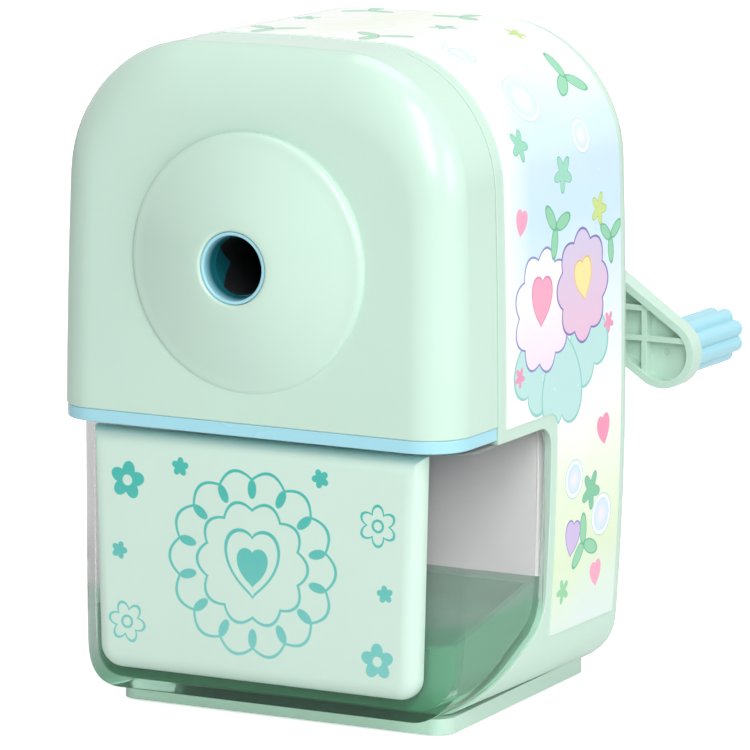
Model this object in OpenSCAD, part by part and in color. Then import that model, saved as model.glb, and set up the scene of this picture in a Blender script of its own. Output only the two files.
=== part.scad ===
// Hand-cranked pencil sharpener with a helical cutter and a pull-out shavings drawer.
// X runs to the right, Y to the back and Z up. The origin is on the table, at the centre of the base.
// The pencil goes in along +Y at the front, and the crank turns behind the back wall.

/* [Housing] */
// Width of the housing at its widest
housing_w = 69; // [66:1:76]
// Height of the housing above the table
housing_h = 104; // [102:1:112]
// Depth of the front cover, from its lower front edge to the seam
cover_d = 16; // [15:0.5:20]
// Depth of the rear shell, from the seam to the back
shell_d = 46.6; // [44:0.2:54]
// Thickness of the cover and shell walls
wall = 1.8; // [1.5:0.1:2.2]
// Height of the upper housing, from the deck to the top
upper_h = 56.7; // [55:0.1:64]
// Radius of the upper corners, seen from the front
corner_r = 20; // [16:0.5:24]
// Radius of the lower corners, seen from the front
foot_r = 7; // [6:0.5:9]
// Radius of the edge round the back
back_r = 4; // [3:0.5:5]
// Depth and reach of the rounding round the front face
face_r = 7; // [5:0.5:9]
// Extra reach of that rounding along the top
brow_r = 3; // [0:0.5:4]
// Backward lean of the front, in degrees
lean = 1.9; // [0:0.1:3]

/* [Base] */
// Length of the base plate, front to back
base_l = 52; // [48:1:56]
// Width of the base plate at its front
base_w = 57.2; // [52:0.2:60]
// Height of the base plate's top above the table
base_top = 2.8; // [2.4:0.1:3.6]
// Thickness of the grip pad under the base
grip_t = 1.2; // [1:0.1:1.4]
// Length of the grip pad
grip_l = 30; // [20:1:32]
// Width of the grip pad
grip_w = 34; // [20:1:36]

/* [Trim deck] */
// Thickness of the deck
deck_t = 2; // [1.6:0.1:2.4]

/* [Drawer] */
// Distance from the cover's lower front edge back to the drawer's front
drawer_inset = 4.9; // [3.6:0.1:6]
// Reveal between the drawer's sides and the housing's outline
drawer_reveal = 0.45; // [0.3:0.05:0.8]
// Wall thickness of the drawer
drawer_wall = 1.4; // [1.2:0.1:1.8]
// Radius of the drawer's upright corners
drawer_r = 7; // [6:0.5:8]
// Depth of the drawer's level floor behind its front
sill_d = 7.3; // [6:0.1:10]
// Rise of the sloping floor, in degrees
slope_a = 27; // [22:1:30]
// Radius of the drawer's rear corners
drawer_rear_r = 2.5; // [2:0.5:4]
// Depth of the drawer's bay behind the seam
bay_d = 18; // [16:0.2:20]
// Height of the low wall behind the drawer
low_wall_z = 21; // [19:1:26]
// Thickness of the front panel, proud of the drawer
panel_t = 3.2; // [2.4:0.1:4]
// Width of the front panel at its top
panel_w = 57.2; // [50:0.2:58]
// Height of the front panel's lower edge above the drawer's bottom
panel_low = 3.55; // [2:0.05:6]
// Radius of the front panel's lower corners
panel_r = 3.5; // [2:0.5:5]
// Radius of the rounding round the front panel's face
panel_edge = 1.9; // [1:0.1:1.9]
// Wall thickness of the shavings tray in the drawer
tray_wall = 1; // [0.8:0.1:1.2]
// Height of the tray's front rim above the drawer's bottom
tray_h = 10; // [8:0.5:12]

/* [Printed film] */
// Thickness of the film round the shell
film_t = 0.2; // [0.1:0.05:0.3]
// Border of bare shell round the film
film_border = 2; // [1.5:0.1:3]

/* [Pencil port] */
// Height of the pencil's axis above the deck
axis_h = 24.3; // [23:0.1:27]
// Diameter of the hole for the pencil
pencil_d = 9; // [8.2:0.1:9.4]
// Wall of the pencil guide at its lip
lip_w = 1; // [0.8:0.1:1.3]
// Radius of the raised dial round the port
dial_r = 19.9; // [17:0.1:22]
// Height of the dial's rim above the front
dial_rim = 0.9; // [0.6:0.1:1.6]
// Height of the port above the front
port_h = 5.1; // [4:0.1:6]

/* [Cutter] */
// Radius of the cutter over its teeth
cutter_r = 6.5; // [6:0.1:6.8]
// Length of the cutter
cutter_l = 21.5; // [18:0.5:22]
// Distance from the seam back to the tip of the pencil's cone
apex_d = 24.1; // [23:0.1:26]
// Distance from the tip of the cone forward to the pinion
cone_l = 25; // [24:0.1:26]
// Half of the angle that it cuts on the pencil, in degrees
point_a = 11; // [10:0.5:12]
// Number of cutting teeth
cutter_teeth = 12; // [8:1:16]
// Number of teeth on the cutter's pinion
pinion_teeth = 12; // [12:1:12]
// Number of teeth in the fixed ring
ring_teeth = 36; // [36:1:36]
// Thickness of the pinion
pinion_t = 2.6; // [2:0.1:3]
// Radius of the cutter's axle
axle_r = 1.25; // [1:0.05:1.5]

/* [Crank] */
// Distance from the shaft to the handle's axis
arm_l = 39.2; // [34:0.2:44]
// Width of the arm
arm_w = 11.2; // [10:0.2:13]
// Thickness of the arm at the handle
arm_t = 3.3; // [3:0.1:4.5]
// Thickness of the arm's walls
arm_wall = 1.2; // [1:0.1:1.5]
// Distance from the back of the housing to the arm's back face
arm_reach = 15.7; // [14:0.1:20]
// Turn of the arm below level at rest, in degrees
arm_a = 34.8; // [0:0.2:90]
// Radius of the crank shaft
shaft_r = 3; // [2.5:0.1:3.5]
// Length of the handle
knob_l = 17.5; // [15:0.1:22]
// Diameter of the handle over its lobes
knob_d = 8.9; // [8:0.1:11]
// Number of lobes on the handle
knob_lobes = 8; // [6:1:10]
// Radius of the handle's pin
pin_r = 1.2; // [1:0.1:1.5]

/* [Clearances] */
// Radial clearance of a turning fit
run_c = 0.05; // [0.03:0.01:0.08]
// Gap beside a sliding or turning part
slide_c = 0.3; // [0.25:0.05:0.4]
// Gap between parts that are fitted together
fit_c = 0.1; // [0.05:0.05:0.15]

/* [Hidden] */
$fn = 64;

mint = "#c4e0d1";
sky = "#a1d8e6";
smoke = [0.75, 0.75, 0.75, 0.5];
leaf = [0.36, 0.6, 0.48, 0.7];
grey = "#c9cccb";
black = "#2b2e30";
acetal = "#eceae2";
steel = "#a9adb1";

// Housing, in plan and in height
skin = 0.02;                    // thickness of the slices that a rounded form is hulled from
half_w = housing_w / 2;
back_y = base_l / 2 + 0.5;
seam_y = back_y - shell_d;
face_y = seam_y - cover_d;
deck_top = housing_h - upper_h;
deck_z = deck_top - deck_t;
axis_z = deck_top + axis_h;
foot_tuck = 1.5;                // how far the sides draw in towards the foot
brow_tuck = 0.6;                // and towards the upper corners
crown = 0.5;                    // rise of the top between its corners
draft = 0.7;                    // how much smaller the outline is at the back
seam_gap = 0.3;
shoulder_z = housing_h - crown - corner_r;
knee_z = base_top + foot_r;
side_steps = 4;
arc_steps = 8;
dome_steps = 5;
dome_bow = 1.25;                // how far the dial bows out between its rim and the port

// Drawer bay, seen from the side
window_top = deck_z - 0.7;
window_back = seam_y + bay_d;
window_r = 3.5;
bend_r = 6;
bay_back = window_back;
bay_wall = 1.6;
drawer_front = face_y + drawer_inset;
drawer_back = bay_back - slide_c;
drawer_bottom = base_top + drawer_reveal;
drawer_top = window_top - slide_c - 0.1;
slope_y = drawer_front + sill_d;
panel_top = drawer_top;
panel_bottom = drawer_bottom + panel_low;

// Mechanism, along the pencil's axis
lip_r = pencil_d / 2 + lip_w;
guide_r = lip_r - 0.4;
guide_flange_w = 2.6;           // flange that holds the guide behind the cover
guide_flange_t = 1.4;
seat_t = 0.6;                   // how far the cover's seat for it stands behind the wall
apex_y = seam_y + apex_d;
pinion_y = apex_y - cone_l;
axis_drop = (apex_y - pinion_y) * tan(point_a) + cutter_r / cos(point_a);
pinion_r = axis_drop / (ring_teeth / pinion_teeth - cos(point_a));
ring_r = pinion_r * ring_teeth / pinion_teeth;
tooth_out = 0.125 * pinion_r;
tooth_in = 0.185 * pinion_r;
ring_face = 3;
ring_y = pinion_y + pinion_r * sin(point_a);
disc_gap = 3;                   // from the pinion's middle to the carrier's front disc
disc_t = 2;
disc_c = 0.4;                   // gap beside each of the carrier's discs
disc_back = pinion_y - disc_gap;
plate_back = disc_back - disc_t - disc_c;
plate_t = 2.6;
plate_front = plate_back - plate_t;
journal_r = 8;
disc_edge = 1.2;                // how far the front disc stays inside the ring's teeth
carrier_front_r = ring_r - tooth_out - disc_edge;
rear_disc_y = apex_y + 1.2;
rear_disc_t = 2.5;
rear_disc_r = cutter_r + axis_drop - (apex_y - pinion_y) * tan(point_a) + disc_c;
hub_wall = 2.5;
hub_r = shaft_r + hub_wall;
hub_l = 3;
hub_back = rear_disc_y + rear_disc_t + hub_l;
ring_wall = 4;
ring_out_r = ring_r + ring_wall;
bush_wall = 2;
bush_r = shaft_r + run_c + bush_wall;
flange_w = 2;
flange_r = bush_r + flange_w;
flange_t = 0.8;
rear_plate_y = hub_back + slide_c + flange_t;
rear_plate_t = 2.5;
rear_plate_w = 4;
rear_plate_r = bush_r + rear_plate_w;
frame_w = 1.8;                  // how far the bearing plate reaches beyond the ring
frame_half = ring_out_r + frame_w;
rail_w = 2.5;
rail_h = 6;
frame_top = axis_z + ring_out_r;

// Screws
screw_r = 1.2;
hole_r = 1.4;
head_r = 2.6;
head_t = 1.6;
screw_bite = 3;                 // how far a screw enters the piece that it holds
post_wall = 1.8;
cover_screw_x = frame_half - head_r - 0.4;
cover_screw_z = [deck_top + rail_h + head_r + 0.5, frame_top - head_r - 0.6];
tab_w = 6;
tab_t = 2;
frame_screw_x = frame_half + tab_w / 2;
frame_screw_y = seam_y + 4.5;
base_screw_x = base_w / 2 - 8;
base_screw_y = [-10, base_l / 2 - 6];

// Crank
boss_r = flange_r + 3;
boss_h = 3;
arm_back = back_y + arm_reach;
arm_front = arm_back - arm_t;
arm_seat = arm_back + 0.4;       // raised seat of the washer, on the hub
arm_floor = 1.2;
pin_seat = 0.7;                  // depth of the handle pin's seat in the arm's floor
mark_r = 0.5;                    // dimple over the pin, in the arm's channel
mark_t = 0.25;
arm_slant = 2;                  // lean of the arm's open rim towards the housing, in degrees
hub_front = back_y + boss_h + flange_t + slide_c;
arm_hub_r = shaft_r + 4.5;
screw_head_r = 3.8;
screw_head_t = 2;
crank_bite = 8;                  // how far the crank's screw enters the shaft
recess_w = 0.8;                  // slots of the screw's cross recess
recess_l = 4.4;
recess_t = 0.8;
washer_r = 4.4;
washer_t = 0.8;
knob_gap = slide_c;
cap_t = 1.5;
cap_r = pin_r + 1.3;
lobe_r = 1.35;
knob_core_r = knob_d / 2 - 0.85;

function arc(cx, cy, r, a0, a1, n) =
    [for (i = [0 : n]) let (a = a0 + (a1 - a0) * i / n) [cx + r * cos(a), cy + r * sin(a)]];
function flip(points) = [for (i = [len(points) - 1 : -1 : 0]) [-points[i][0], points[i][1]]];
function side_x(z) = z < deck_top
    ? half_w - foot_tuck * pow((deck_top - z) / (deck_top - knee_z), 2)
    : half_w - brow_tuck * pow((z - deck_top) / (shoulder_z - deck_top), 2);
function face_at(z) = face_y + (z - deck_top) * tan(lean);
function drop_at(y) = (apex_y - y) * tan(point_a) + cutter_r / cos(point_a);
function shell_half(y, z) = side_x(z) - draft * (y - seam_y) / shell_d;
function slope_z(y) = base_top + (y - slope_y) * tan(slope_a);

// Right half of the housing's outline above height low, drawn in by d, by top_d at the top
// and by low_d underneath
function half_outline(d, top_d, low, low_d) = concat(
    low < knee_z
        ? concat([[0, base_top + low_d]],
            arc(half_w - foot_tuck - foot_r - (d - low_d), knee_z, foot_r - low_d, -90, 0, arc_steps),
            [for (i = [1 : side_steps]) let (z = knee_z + (deck_top - knee_z) * i / side_steps)
                [side_x(z) - d, z]])
        : [[0, low], [side_x(low) - d, low]],
    [for (i = [1 : side_steps - 1]) let (z = deck_top + (shoulder_z - deck_top) * i / side_steps)
        [side_x(z) - d, z - (top_d - d) * i / side_steps]],
    arc(half_w - brow_tuck - corner_r, shoulder_z - (top_d - d), corner_r - d, 0, 90, arc_steps),
    [[0, housing_h - top_d]]);

module outline(d, top_d, low, low_d) {
    half = half_outline(d, top_d, low, is_undef(low_d) ? d : low_d);
    polygon(concat(half, flip(half)));
}

// A shape drawn in X and Z, standing from y0 back to y1
module upright(y0, y1) {
    translate([0, y1, 0]) rotate([90, 0, 0]) linear_extrude(y1 - y0) children();
}

// A shape drawn in Y and Z, as wide as w
module sideways(w) {
    translate([-w / 2, 0, 0]) rotate([90, 0, 90]) linear_extrude(w) children();
}

// A round bar along Y, and a profile of [radius, y] points turned about Y, on the pencil's axis
module rod(r, y0, y1) {
    translate([0, y1, axis_z]) rotate([90, 0, 0]) cylinder(h = y1 - y0, r = r);
}

module turned(profile) {
    translate([0, 0, axis_z]) rotate([-90, 0, 0]) rotate_extrude() polygon(profile);
}

// Places things on the cutter's axis, from the middle of its pinion towards the back
module on_cutter_axis() {
    translate([0, pinion_y, axis_z - axis_drop]) rotate([point_a - 90, 0, 0]) children();
}

module on_handle_axis() {
    translate([arm_l * cos(arm_a), 0, -arm_l * sin(arm_a)]) children();
}

// The shell's rounded form, drawn in by d on every side
module shell_form(d) {
    r = back_r - d;
    hull() {
        upright(seam_y, seam_y + skin) outline(d, d, 0);
        for (i = [0 : 6]) {
            a = i * 15;
            y = back_y - back_r + r * sin(a);
            side_d = draft + d + r * (1 - cos(a));
            upright(y - skin, y) outline(side_d, side_d, 0, side_d - draft);
        }
    }
}

// The cover's rounded form, drawn in by d on every side but its underside and its seam
module cover_form(d) {
    hull() {
        upright(seam_y - seam_gap - skin, seam_y - seam_gap + d) outline(d, d, deck_top);
        for (i = [0 : 6]) {
            a = i * 15;
            y = face_y + d + (face_r - d) * (1 - sin(a));
            side_d = d + (face_r - d) * (1 - cos(a));
            top_d = d + (face_r + brow_r - d) * (1 - cos(a));
            translate([0, y, deck_top]) rotate([-lean * sin(a), 0, 0]) translate([0, -y, -deck_top])
                upright(y, y + skin) outline(side_d, top_d, deck_top);
        }
    }
}

// Side view of the window in the shell, which is open to the front, drawn in by d
module window_profile(d) {
    bend_y = window_back - bend_r;
    bend_z = slope_z(bend_y) + bend_r / cos(slope_a);
    bottom = d > 0 ? drawer_bottom + d - slide_c : base_top;
    start = slope_y + (bottom - base_top) / tan(slope_a) - d / sin(slope_a);
    polygon(concat(
        [[face_y - 10, bottom], [start, bottom]],
        arc(bend_y, bend_z, bend_r - d, slope_a - 90, 0, arc_steps),
        arc(window_back - window_r, window_top - window_r, window_r - d, 0, 90, arc_steps),
        [[face_y - 10, window_top - d]]));
}

// Side view of the room inside the shell: the mechanism's room, the back and the drawer's bay
module shell_room() {
    floor_z = base_top + wall;
    front = min(slope_y, seam_y) - 1;
    back = bay_back + bay_wall;
    wedge_y = bay_back - 4;
    polygon([[front, housing_h], [back_y, housing_h], [back_y, floor_z], [wedge_y, floor_z],
        [wedge_y, slope_z(wedge_y) - bay_wall], [back, slope_z(back) - bay_wall],
        [back, low_wall_z], [bay_back, low_wall_z], [bay_back, slope_z(bay_back)],
        [slope_y, base_top], [front, base_top]]);
}

module housing_shell() {
    ledge_w = 2.6;
    bay_end = bay_back + bay_wall;
    lip_d = wall + fit_c;
    color(mint) difference() {
        union() {
            difference() {
                shell_form(0);
                intersection() {
                    translate([0, -1, 0]) shell_form(wall);
                    sideways(housing_w) shell_room();
                }
            }
            // Tongue that enters the front cover
            upright(seam_y - 2.5, seam_y + 1.5) difference() {
                outline(lip_d, lip_d, deck_top);
                outline(lip_d + 1.2, lip_d + 1.2, deck_top);
                translate([-housing_w / 2, 0]) square([housing_w, deck_top + slide_c]);
            }
            upright(seam_y, seam_y + 1.5) difference() {
                outline(wall - 0.2, wall - 0.2, deck_top);
                outline(lip_d + 1.2, lip_d + 1.2, deck_top);
                translate([-housing_w / 2, 0]) square([housing_w, deck_top + slide_c]);
            }
            // Ledges that carry the trim deck
            for (s = [-1, 1]) {
                translate([s * (shell_half(bay_end, deck_z) - ledge_w / 2 - 0.4) - ledge_w / 2, seam_y, window_top])
                    cube([ledge_w, bay_back - fit_c - seam_y, deck_z - window_top]);
            }
            // Nose of the floor that slopes up under the drawer
            intersection() {
                upright(slope_y, seam_y + 1) outline(0, 0, 0);
                sideways(housing_w) polygon([[slope_y + 0.8, base_top], [slope_y + 0.8, slope_z(slope_y + 0.8)],
                    [seam_y + 1, slope_z(seam_y + 1)], [seam_y + 1, base_top]]);
            }
            // Boss round the rear bush, inside and outside
            rod(bush_r + 2.2, back_y - wall - 4, back_y);
            rod(boss_r, back_y - 0.5, back_y + boss_h);
            // Posts for the base screws
            for (x = [-base_screw_x, base_screw_x]) {
                translate([x, base_screw_y[1], base_top]) cylinder(h = 7, r = screw_r + post_wall);
            }
        }
        sideways(housing_w + 2) window_profile(0);
        rod(bush_r, back_y - 10, back_y + boss_h + 1);
        for (x = [-base_screw_x, base_screw_x], y = base_screw_y) {
            translate([x, y, base_top - 1]) cylinder(h = 5.5, r = screw_r);
        }
    }
}

module front_cover() {
    axis_face = face_at(axis_z);
    port_y = axis_face - port_h;
    boss_back = axis_face + wall + seat_t;
    boss_w = 3;
    rim_round = 0.5;
    rim_w = 2;
    port_edge = 0.5;
    dome_front = lip_r + fit_c + port_edge;
    dome_back = dial_r - rim_round - rim_w;
    color(mint) difference() {
        union() {
            difference() {
                cover_form(0);
                cover_form(wall);
                translate([-half_w, face_y, deck_top - 1]) cube([0.01, 0.01, 0.01]);
            }
            // Dial round the port, hollow behind, with a seat for the guide
            turned(concat([[lip_r - 0.3, boss_back], [lip_r - 0.3, port_y + lip_w],
                [lip_r + fit_c, port_y + lip_w], [lip_r + fit_c, port_y + port_edge]],
                [for (i = [0 : dome_steps]) let (t = i / dome_steps)
                    [dome_front + (dome_back - dome_front) * t,
                    port_y + (port_h - dial_rim - 0.4) * pow(t, dome_bow)]],
                [[dial_r - rim_round, axis_face - dial_rim], [dial_r, axis_face - dial_rim + rim_round],
                [dial_r, axis_face + wall], [dial_r - rim_w, axis_face + wall],
                [dial_r - rim_w - rim_round, axis_face + 0.4], [lip_r + boss_w, port_y + lip_w + wall],
                [lip_r + boss_w, boss_back]]));
            // Posts for the cover screws
            for (x = [-cover_screw_x, cover_screw_x], z = cover_screw_z) {
                translate([x, plate_front, z]) rotate([90, 0, 0])
                    cylinder(h = plate_front - face_at(z) - wall / 2, r = screw_r + post_wall);
            }
        }
        rod(guide_r + fit_c, port_y - 1, boss_back + 1);
        for (x = [-cover_screw_x, cover_screw_x], z = cover_screw_z) {
            translate([x, plate_front + 0.1, z]) rotate([90, 0, 0]) cylinder(h = screw_bite + 1, r = screw_r);
        }
    }
}

// Plan of the deck: rounded at the front, narrower where it lies inside the shell
module trim_deck() {
    front_half = half_w - 0.15;
    inner_half = shell_half(bay_back + bay_wall, deck_z) - wall - slide_c;
    chute_half = frame_half - rail_w - 0.5;
    chute_front = disc_back + 2;
    color(sky) difference() {
        translate([0, 0, deck_z]) linear_extrude(deck_t) union() {
            polygon(concat(
                [[-inner_half, seam_y - seam_gap]],
                [[-front_half, seam_y - seam_gap]],
                arc(-front_half + face_r, face_y + face_r + 0.1, face_r, 180, 270, arc_steps),
                arc(front_half - face_r, face_y + face_r + 0.1, face_r, 270, 360, arc_steps),
                [[front_half, seam_y - seam_gap], [inner_half, seam_y - seam_gap]]));
            translate([-inner_half, seam_y - 0.5])
                square([2 * inner_half, bay_back + bay_wall - seam_y + 0.5]);
        }
        translate([-chute_half, chute_front, deck_z - 1])
            cube([2 * chute_half, bay_back - chute_front - 0.3, deck_t + 2]);
        for (x = [-frame_screw_x, frame_screw_x]) {
            translate([x, frame_screw_y, deck_z - 1]) cylinder(h = deck_t + 2, r = screw_r);
        }
    }
}

// Closes the back of the drawer's bay above the low wall
module bay_panel() {
    half = shell_half(bay_back + bay_wall, low_wall_z) - wall - slide_c;
    color(grey) translate([-half, bay_back, low_wall_z])
        cube([2 * half, bay_wall, deck_z - low_wall_z]);
}

module pencil_guide() {
    axis_face = face_at(axis_z);
    lip_y = axis_face - port_h;
    bore = pencil_d / 2;
    seat = axis_face + wall + seat_t;
    flange = guide_r + guide_flange_w;
    color(sky) turned(concat(
        arc(lip_r, lip_y + lip_w, lip_w, 180, 270, arc_steps),
        [[lip_r, lip_y + lip_w], [guide_r, lip_y + lip_w], [guide_r, seat], [flange, seat],
            [flange, seat + guide_flange_t], [guide_r, seat + guide_flange_t], [guide_r, plate_front - slide_c],
            [bore, plate_front - slide_c]]));
}

module mechanism_frame() {
    chute_low = deck_top;
    color(grey) difference() {
        union() {
            upright(plate_front, plate_back)
                translate([-frame_half, deck_top]) square([2 * frame_half, frame_top - deck_top]);
            for (s = [-1, 1]) {
                translate([s * (frame_half - rail_w / 2) - rail_w / 2, plate_back - 0.1, deck_top])
                    cube([rail_w, rear_plate_y - plate_back + 0.2, rail_h]);
                translate([s * frame_screw_x - tab_w / 2 - (s > 0 ? 1 : 0), frame_screw_y - 3, deck_top])
                    cube([tab_w + 1, 6, tab_t]);
            }
            upright(rear_plate_y, rear_plate_y + rear_plate_t) union() {
                translate([-frame_half, deck_top]) square([2 * frame_half, rail_h + 4]);
                translate([-rear_plate_r, deck_top]) square([2 * rear_plate_r, axis_z - deck_top]);
                translate([0, axis_z]) circle(r = rear_plate_r);
            }
            // Chute that turns the shavings forward into the drawer
            sideways(2 * frame_half - 2 * rail_w + 0.2) polygon([[bay_back, chute_low],
                [bay_back + bay_wall, chute_low], [rear_plate_y + 0.1, chute_low + rail_h + 1.5],
                [rear_plate_y + 0.1, chute_low + rail_h + 3.5]]);
        }
        rod(journal_r + run_c, plate_front - 1, plate_back + 1);
        rod(bush_r, rear_plate_y - 1, rear_plate_y + rear_plate_t + 1);
        for (x = [-cover_screw_x, cover_screw_x], z = cover_screw_z) {
            translate([x, plate_back + 1, z]) rotate([90, 0, 0]) cylinder(h = plate_t + 2, r = hole_r);
        }
        for (x = [-frame_screw_x, frame_screw_x]) {
            translate([x, frame_screw_y, deck_top - 1]) cylinder(h = tab_t + 2, r = hole_r);
        }
    }
}

// Points round a gear: each tooth or space has its own angles at the two radii
function gear_points(n, r_a, half_a, r_b, half_b) = [for (i = [0 : n - 1], p = [0 : 3])
    let (a = 360 / n * (i + (p < 2 ? -1 : 1) * (p == 0 || p == 3 ? half_a : half_b)),
        r = (p == 0 || p == 3) ? r_a : r_b)
    [r * cos(a), r * sin(a)]];

module ring_gear() {
    color(acetal) union() {
        upright(ring_y - ring_face / 2, ring_y + ring_face / 2) translate([0, axis_z]) difference() {
            circle(r = ring_out_r);
            rotate(-90) polygon(gear_points(ring_teeth, ring_r - tooth_out, 0.37, ring_r + tooth_in, 0.23));
        }
        upright(plate_back, ring_y - ring_face / 2 + 0.01) translate([0, axis_z]) difference() {
            circle(r = ring_out_r);
            circle(r = ring_r + tooth_in + 0.6);
        }
    }
}

module bush(y0, y1, flange_y) {
    difference() {
        union() {
            rod(bush_r, y0, y1);
            rod(flange_r, flange_y, flange_y + flange_t);
        }
        rod(shaft_r + run_c, y0 - 1, y1 + 1);
    }
}

module inner_bush() {
    color(acetal) bush(rear_plate_y - flange_t, rear_plate_y + rear_plate_t, rear_plate_y - flange_t);
}

module rear_bush() {
    color(acetal) bush(back_y - wall - 4, back_y + boss_h + flange_t, back_y + boss_h);
}

module wrap_film() {
    front = seam_y + film_border + 0.6;
    back = back_y - back_r - film_border / 2;
    low = knee_z + film_border - 0.4;
    edge = window_back + film_border;
    top = window_top + film_border;
    round_r = window_r - 0.5;
    color("#eef4ea") intersection() {
        difference() {
            shell_form(-film_t);
            shell_form(0);
        }
        sideways(housing_w + 4) polygon(concat(
            [[front, housing_h + 2], [front, top]],
            arc(edge - round_r, top - round_r, round_r, 90, 0, arc_steps),
            [[edge, low], [back, low], [back, housing_h + 2]]));
    }
}

module base_plate() {
    back_half = base_w / 2 - 2.4;
    front_half = base_w / 2;
    r = 3;
    low = 0.3;
    color(mint) difference() {
        hull() {
            for (s = [-1, 1]) {
                translate([s * (front_half - r), r - base_l / 2, low]) cylinder(h = base_top - low, r = r);
                translate([s * (back_half - r), base_l / 2 - r, low]) cylinder(h = base_top - low, r = r);
            }
        }
        translate([-grip_w / 2 - fit_c, -grip_l / 2 - fit_c, low - 1])
            cube([grip_w + 2 * fit_c, grip_l + 2 * fit_c, 1 + grip_t - low]);
        for (x = [-base_screw_x, base_screw_x], y = base_screw_y) {
            translate([x, y, 0]) cylinder(h = base_top + 1, r = hole_r);
            translate([x, y, 0]) cylinder(h = low + head_t - 0.6, r = head_r + 0.4);
        }
    }
}

module grip_pad() {
    color("#8d9b95") translate([-grip_w / 2, -grip_l / 2, 0]) cube([grip_w, grip_l, grip_t]);
}

module screw(length, t) {
    cylinder(h = length, r = screw_r - 0.05);
    translate([0, 0, -t]) difference() {
        cylinder(h = t, r = head_r);
        for (a = [0, 90]) rotate(a) translate([-1.5, -0.3, -0.1]) cube([3, 0.6, 0.7]);
    }
}

module base_screws() {
    color(steel) for (x = [-base_screw_x, base_screw_x], y = base_screw_y) {
        translate([x, y, 0.3 + head_t - 0.6]) screw(base_top + 1.5, head_t - 0.6);
    }
}

module frame_screws() {
    color(steel) for (x = [-frame_screw_x, frame_screw_x]) {
        translate([x, frame_screw_y, deck_top + tab_t]) rotate([180, 0, 0])
            screw(tab_t + deck_t - 0.3, head_t);
    }
}

module cover_screws() {
    color(steel) for (x = [-cover_screw_x, cover_screw_x], z = cover_screw_z) {
        translate([x, plate_back, z]) rotate([90, 0, 0]) screw(plate_t + screw_bite, head_t);
    }
}

// The drawer's rounded form, drawn in by d, and open upwards when it is the hollow
module drawer_form(d, top) {
    front = drawer_front + d;
    back = drawer_back - d;
    r = drawer_r - d;
    rear_r = drawer_rear_r - min(d, drawer_rear_r - 0.5);
    half = half_w - drawer_reveal - d;
    intersection() {
        translate([0, 0, base_top]) linear_extrude(top - base_top) polygon(concat(
            arc(-half + r, front + r, r, 180, 270, arc_steps),
            arc(half - r, front + r, r, 270, 360, arc_steps),
            arc(half - rear_r, back - rear_r, rear_r, 0, 90, arc_steps),
            arc(-half + rear_r, back - rear_r, rear_r, 90, 180, arc_steps)));
        sideways(housing_w) union() {
            window_profile(slide_c + d);
            if (d > 0) translate([front - 1, window_top - window_r]) square([back - front + 1, top]);
        }
        upright(front - 1, back + 1) intersection() {
            outline(drawer_reveal + d, drawer_reveal + d, 0);
            translate([-half_w, 0]) square([housing_w, top + 1]);
        }
    }
}

module drawer_box() {
    color(smoke) difference() {
        drawer_form(0, drawer_top);
        drawer_form(drawer_wall, drawer_top + 5);
    }
}

module shavings_tray() {
    d = drawer_wall + 0.15;
    rim = drawer_bottom + tray_h;
    color(leaf) intersection() {
        difference() {
            drawer_form(d, drawer_top);
            drawer_form(d + tray_wall, drawer_top + 5);
        }
        sideways(housing_w) polygon([[drawer_front, 0], [drawer_back, 0],
            [drawer_back, rim + (low_wall_z - drawer_bottom - tray_h)], [drawer_front, rim]]);
    }
}

module drawer_panel() {
    top_half = panel_w / 2;
    low_half = top_half - 1;
    front = drawer_front - panel_t;
    color(mint) hull() {
        for (i = [0 : 3]) {
            a = i * 30;
            d = panel_edge * (1 - cos(a));
            y = front + panel_edge * (1 - sin(a));
            upright(y, i == 0 ? drawer_front : y + skin) polygon(concat(
                arc(-low_half + panel_r, panel_bottom + panel_r, panel_r - d, 180, 270, arc_steps),
                arc(low_half - panel_r, panel_bottom + panel_r, panel_r - d, 270, 360, arc_steps),
                [[top_half - d, panel_top - d], [d - top_half, panel_top - d]]));
        }
    }
}

module cutter_carrier() {
    trough_r = 10.5;
    color(black) difference() {
        union() {
            rod(journal_r, plate_front, disc_back - 0.1);
            rod(carrier_front_r, disc_back - disc_t, disc_back);
            intersection() {
                rod(trough_r, disc_back - 0.1, rear_disc_y + 0.1);
                translate([-trough_r, disc_back - 1, axis_z]) cube([2 * trough_r, 60, trough_r]);
            }
            rod(rear_disc_r, rear_disc_y, rear_disc_y + rear_disc_t);
            rod(hub_r, rear_disc_y, hub_back);
        }
        // Way for the pencil, and the cone that its point lies in
        rod(pencil_d / 2 + 0.3, plate_front - 1, apex_y - (pencil_d / 2 + 0.3) / tan(point_a));
        turned([[0, apex_y - (pencil_d / 2 + 0.3) / tan(point_a) - 0.1],
            [pencil_d / 2 + 0.3, apex_y - (pencil_d / 2 + 0.3) / tan(point_a) - 0.1],
            [pencil_d / 2 + 0.3, apex_y - (pencil_d / 2 + 0.3) / tan(point_a)], [0.3, apex_y + 0.4],
            [0, apex_y + 0.4]]);
        on_cutter_axis() translate([0, 0, 1]) cylinder(h = cutter_l + 1.5, r = cutter_r + 0.5);
        on_cutter_axis() translate([0, 0, -20]) cylinder(h = 60, r = axle_r);
        rod(shaft_r, rear_disc_y + 1, hub_back + 1);
        translate([-hub_r - 1, hub_back - hub_l / 2, axis_z]) rotate([0, 90, 0])
            cylinder(h = 2 * hub_r + 2, r = 0.8);
    }
}

module drive_shaft() {
    color(steel) difference() {
        rod(shaft_r, rear_disc_y + 1, arm_seat - 0.5);
        rod(screw_r, arm_seat - crank_bite - 2, arm_seat);
        translate([-hub_r - 1, hub_back - hub_l / 2, axis_z]) rotate([0, 90, 0])
            cylinder(h = 2 * hub_r + 2, r = 0.8);
    }
}

module shaft_pin() {
    color(steel) translate([-hub_r + 0.2, hub_back - hub_l / 2, axis_z]) rotate([0, 90, 0])
        cylinder(h = 2 * hub_r - 0.4, r = 0.8);
}

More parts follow.
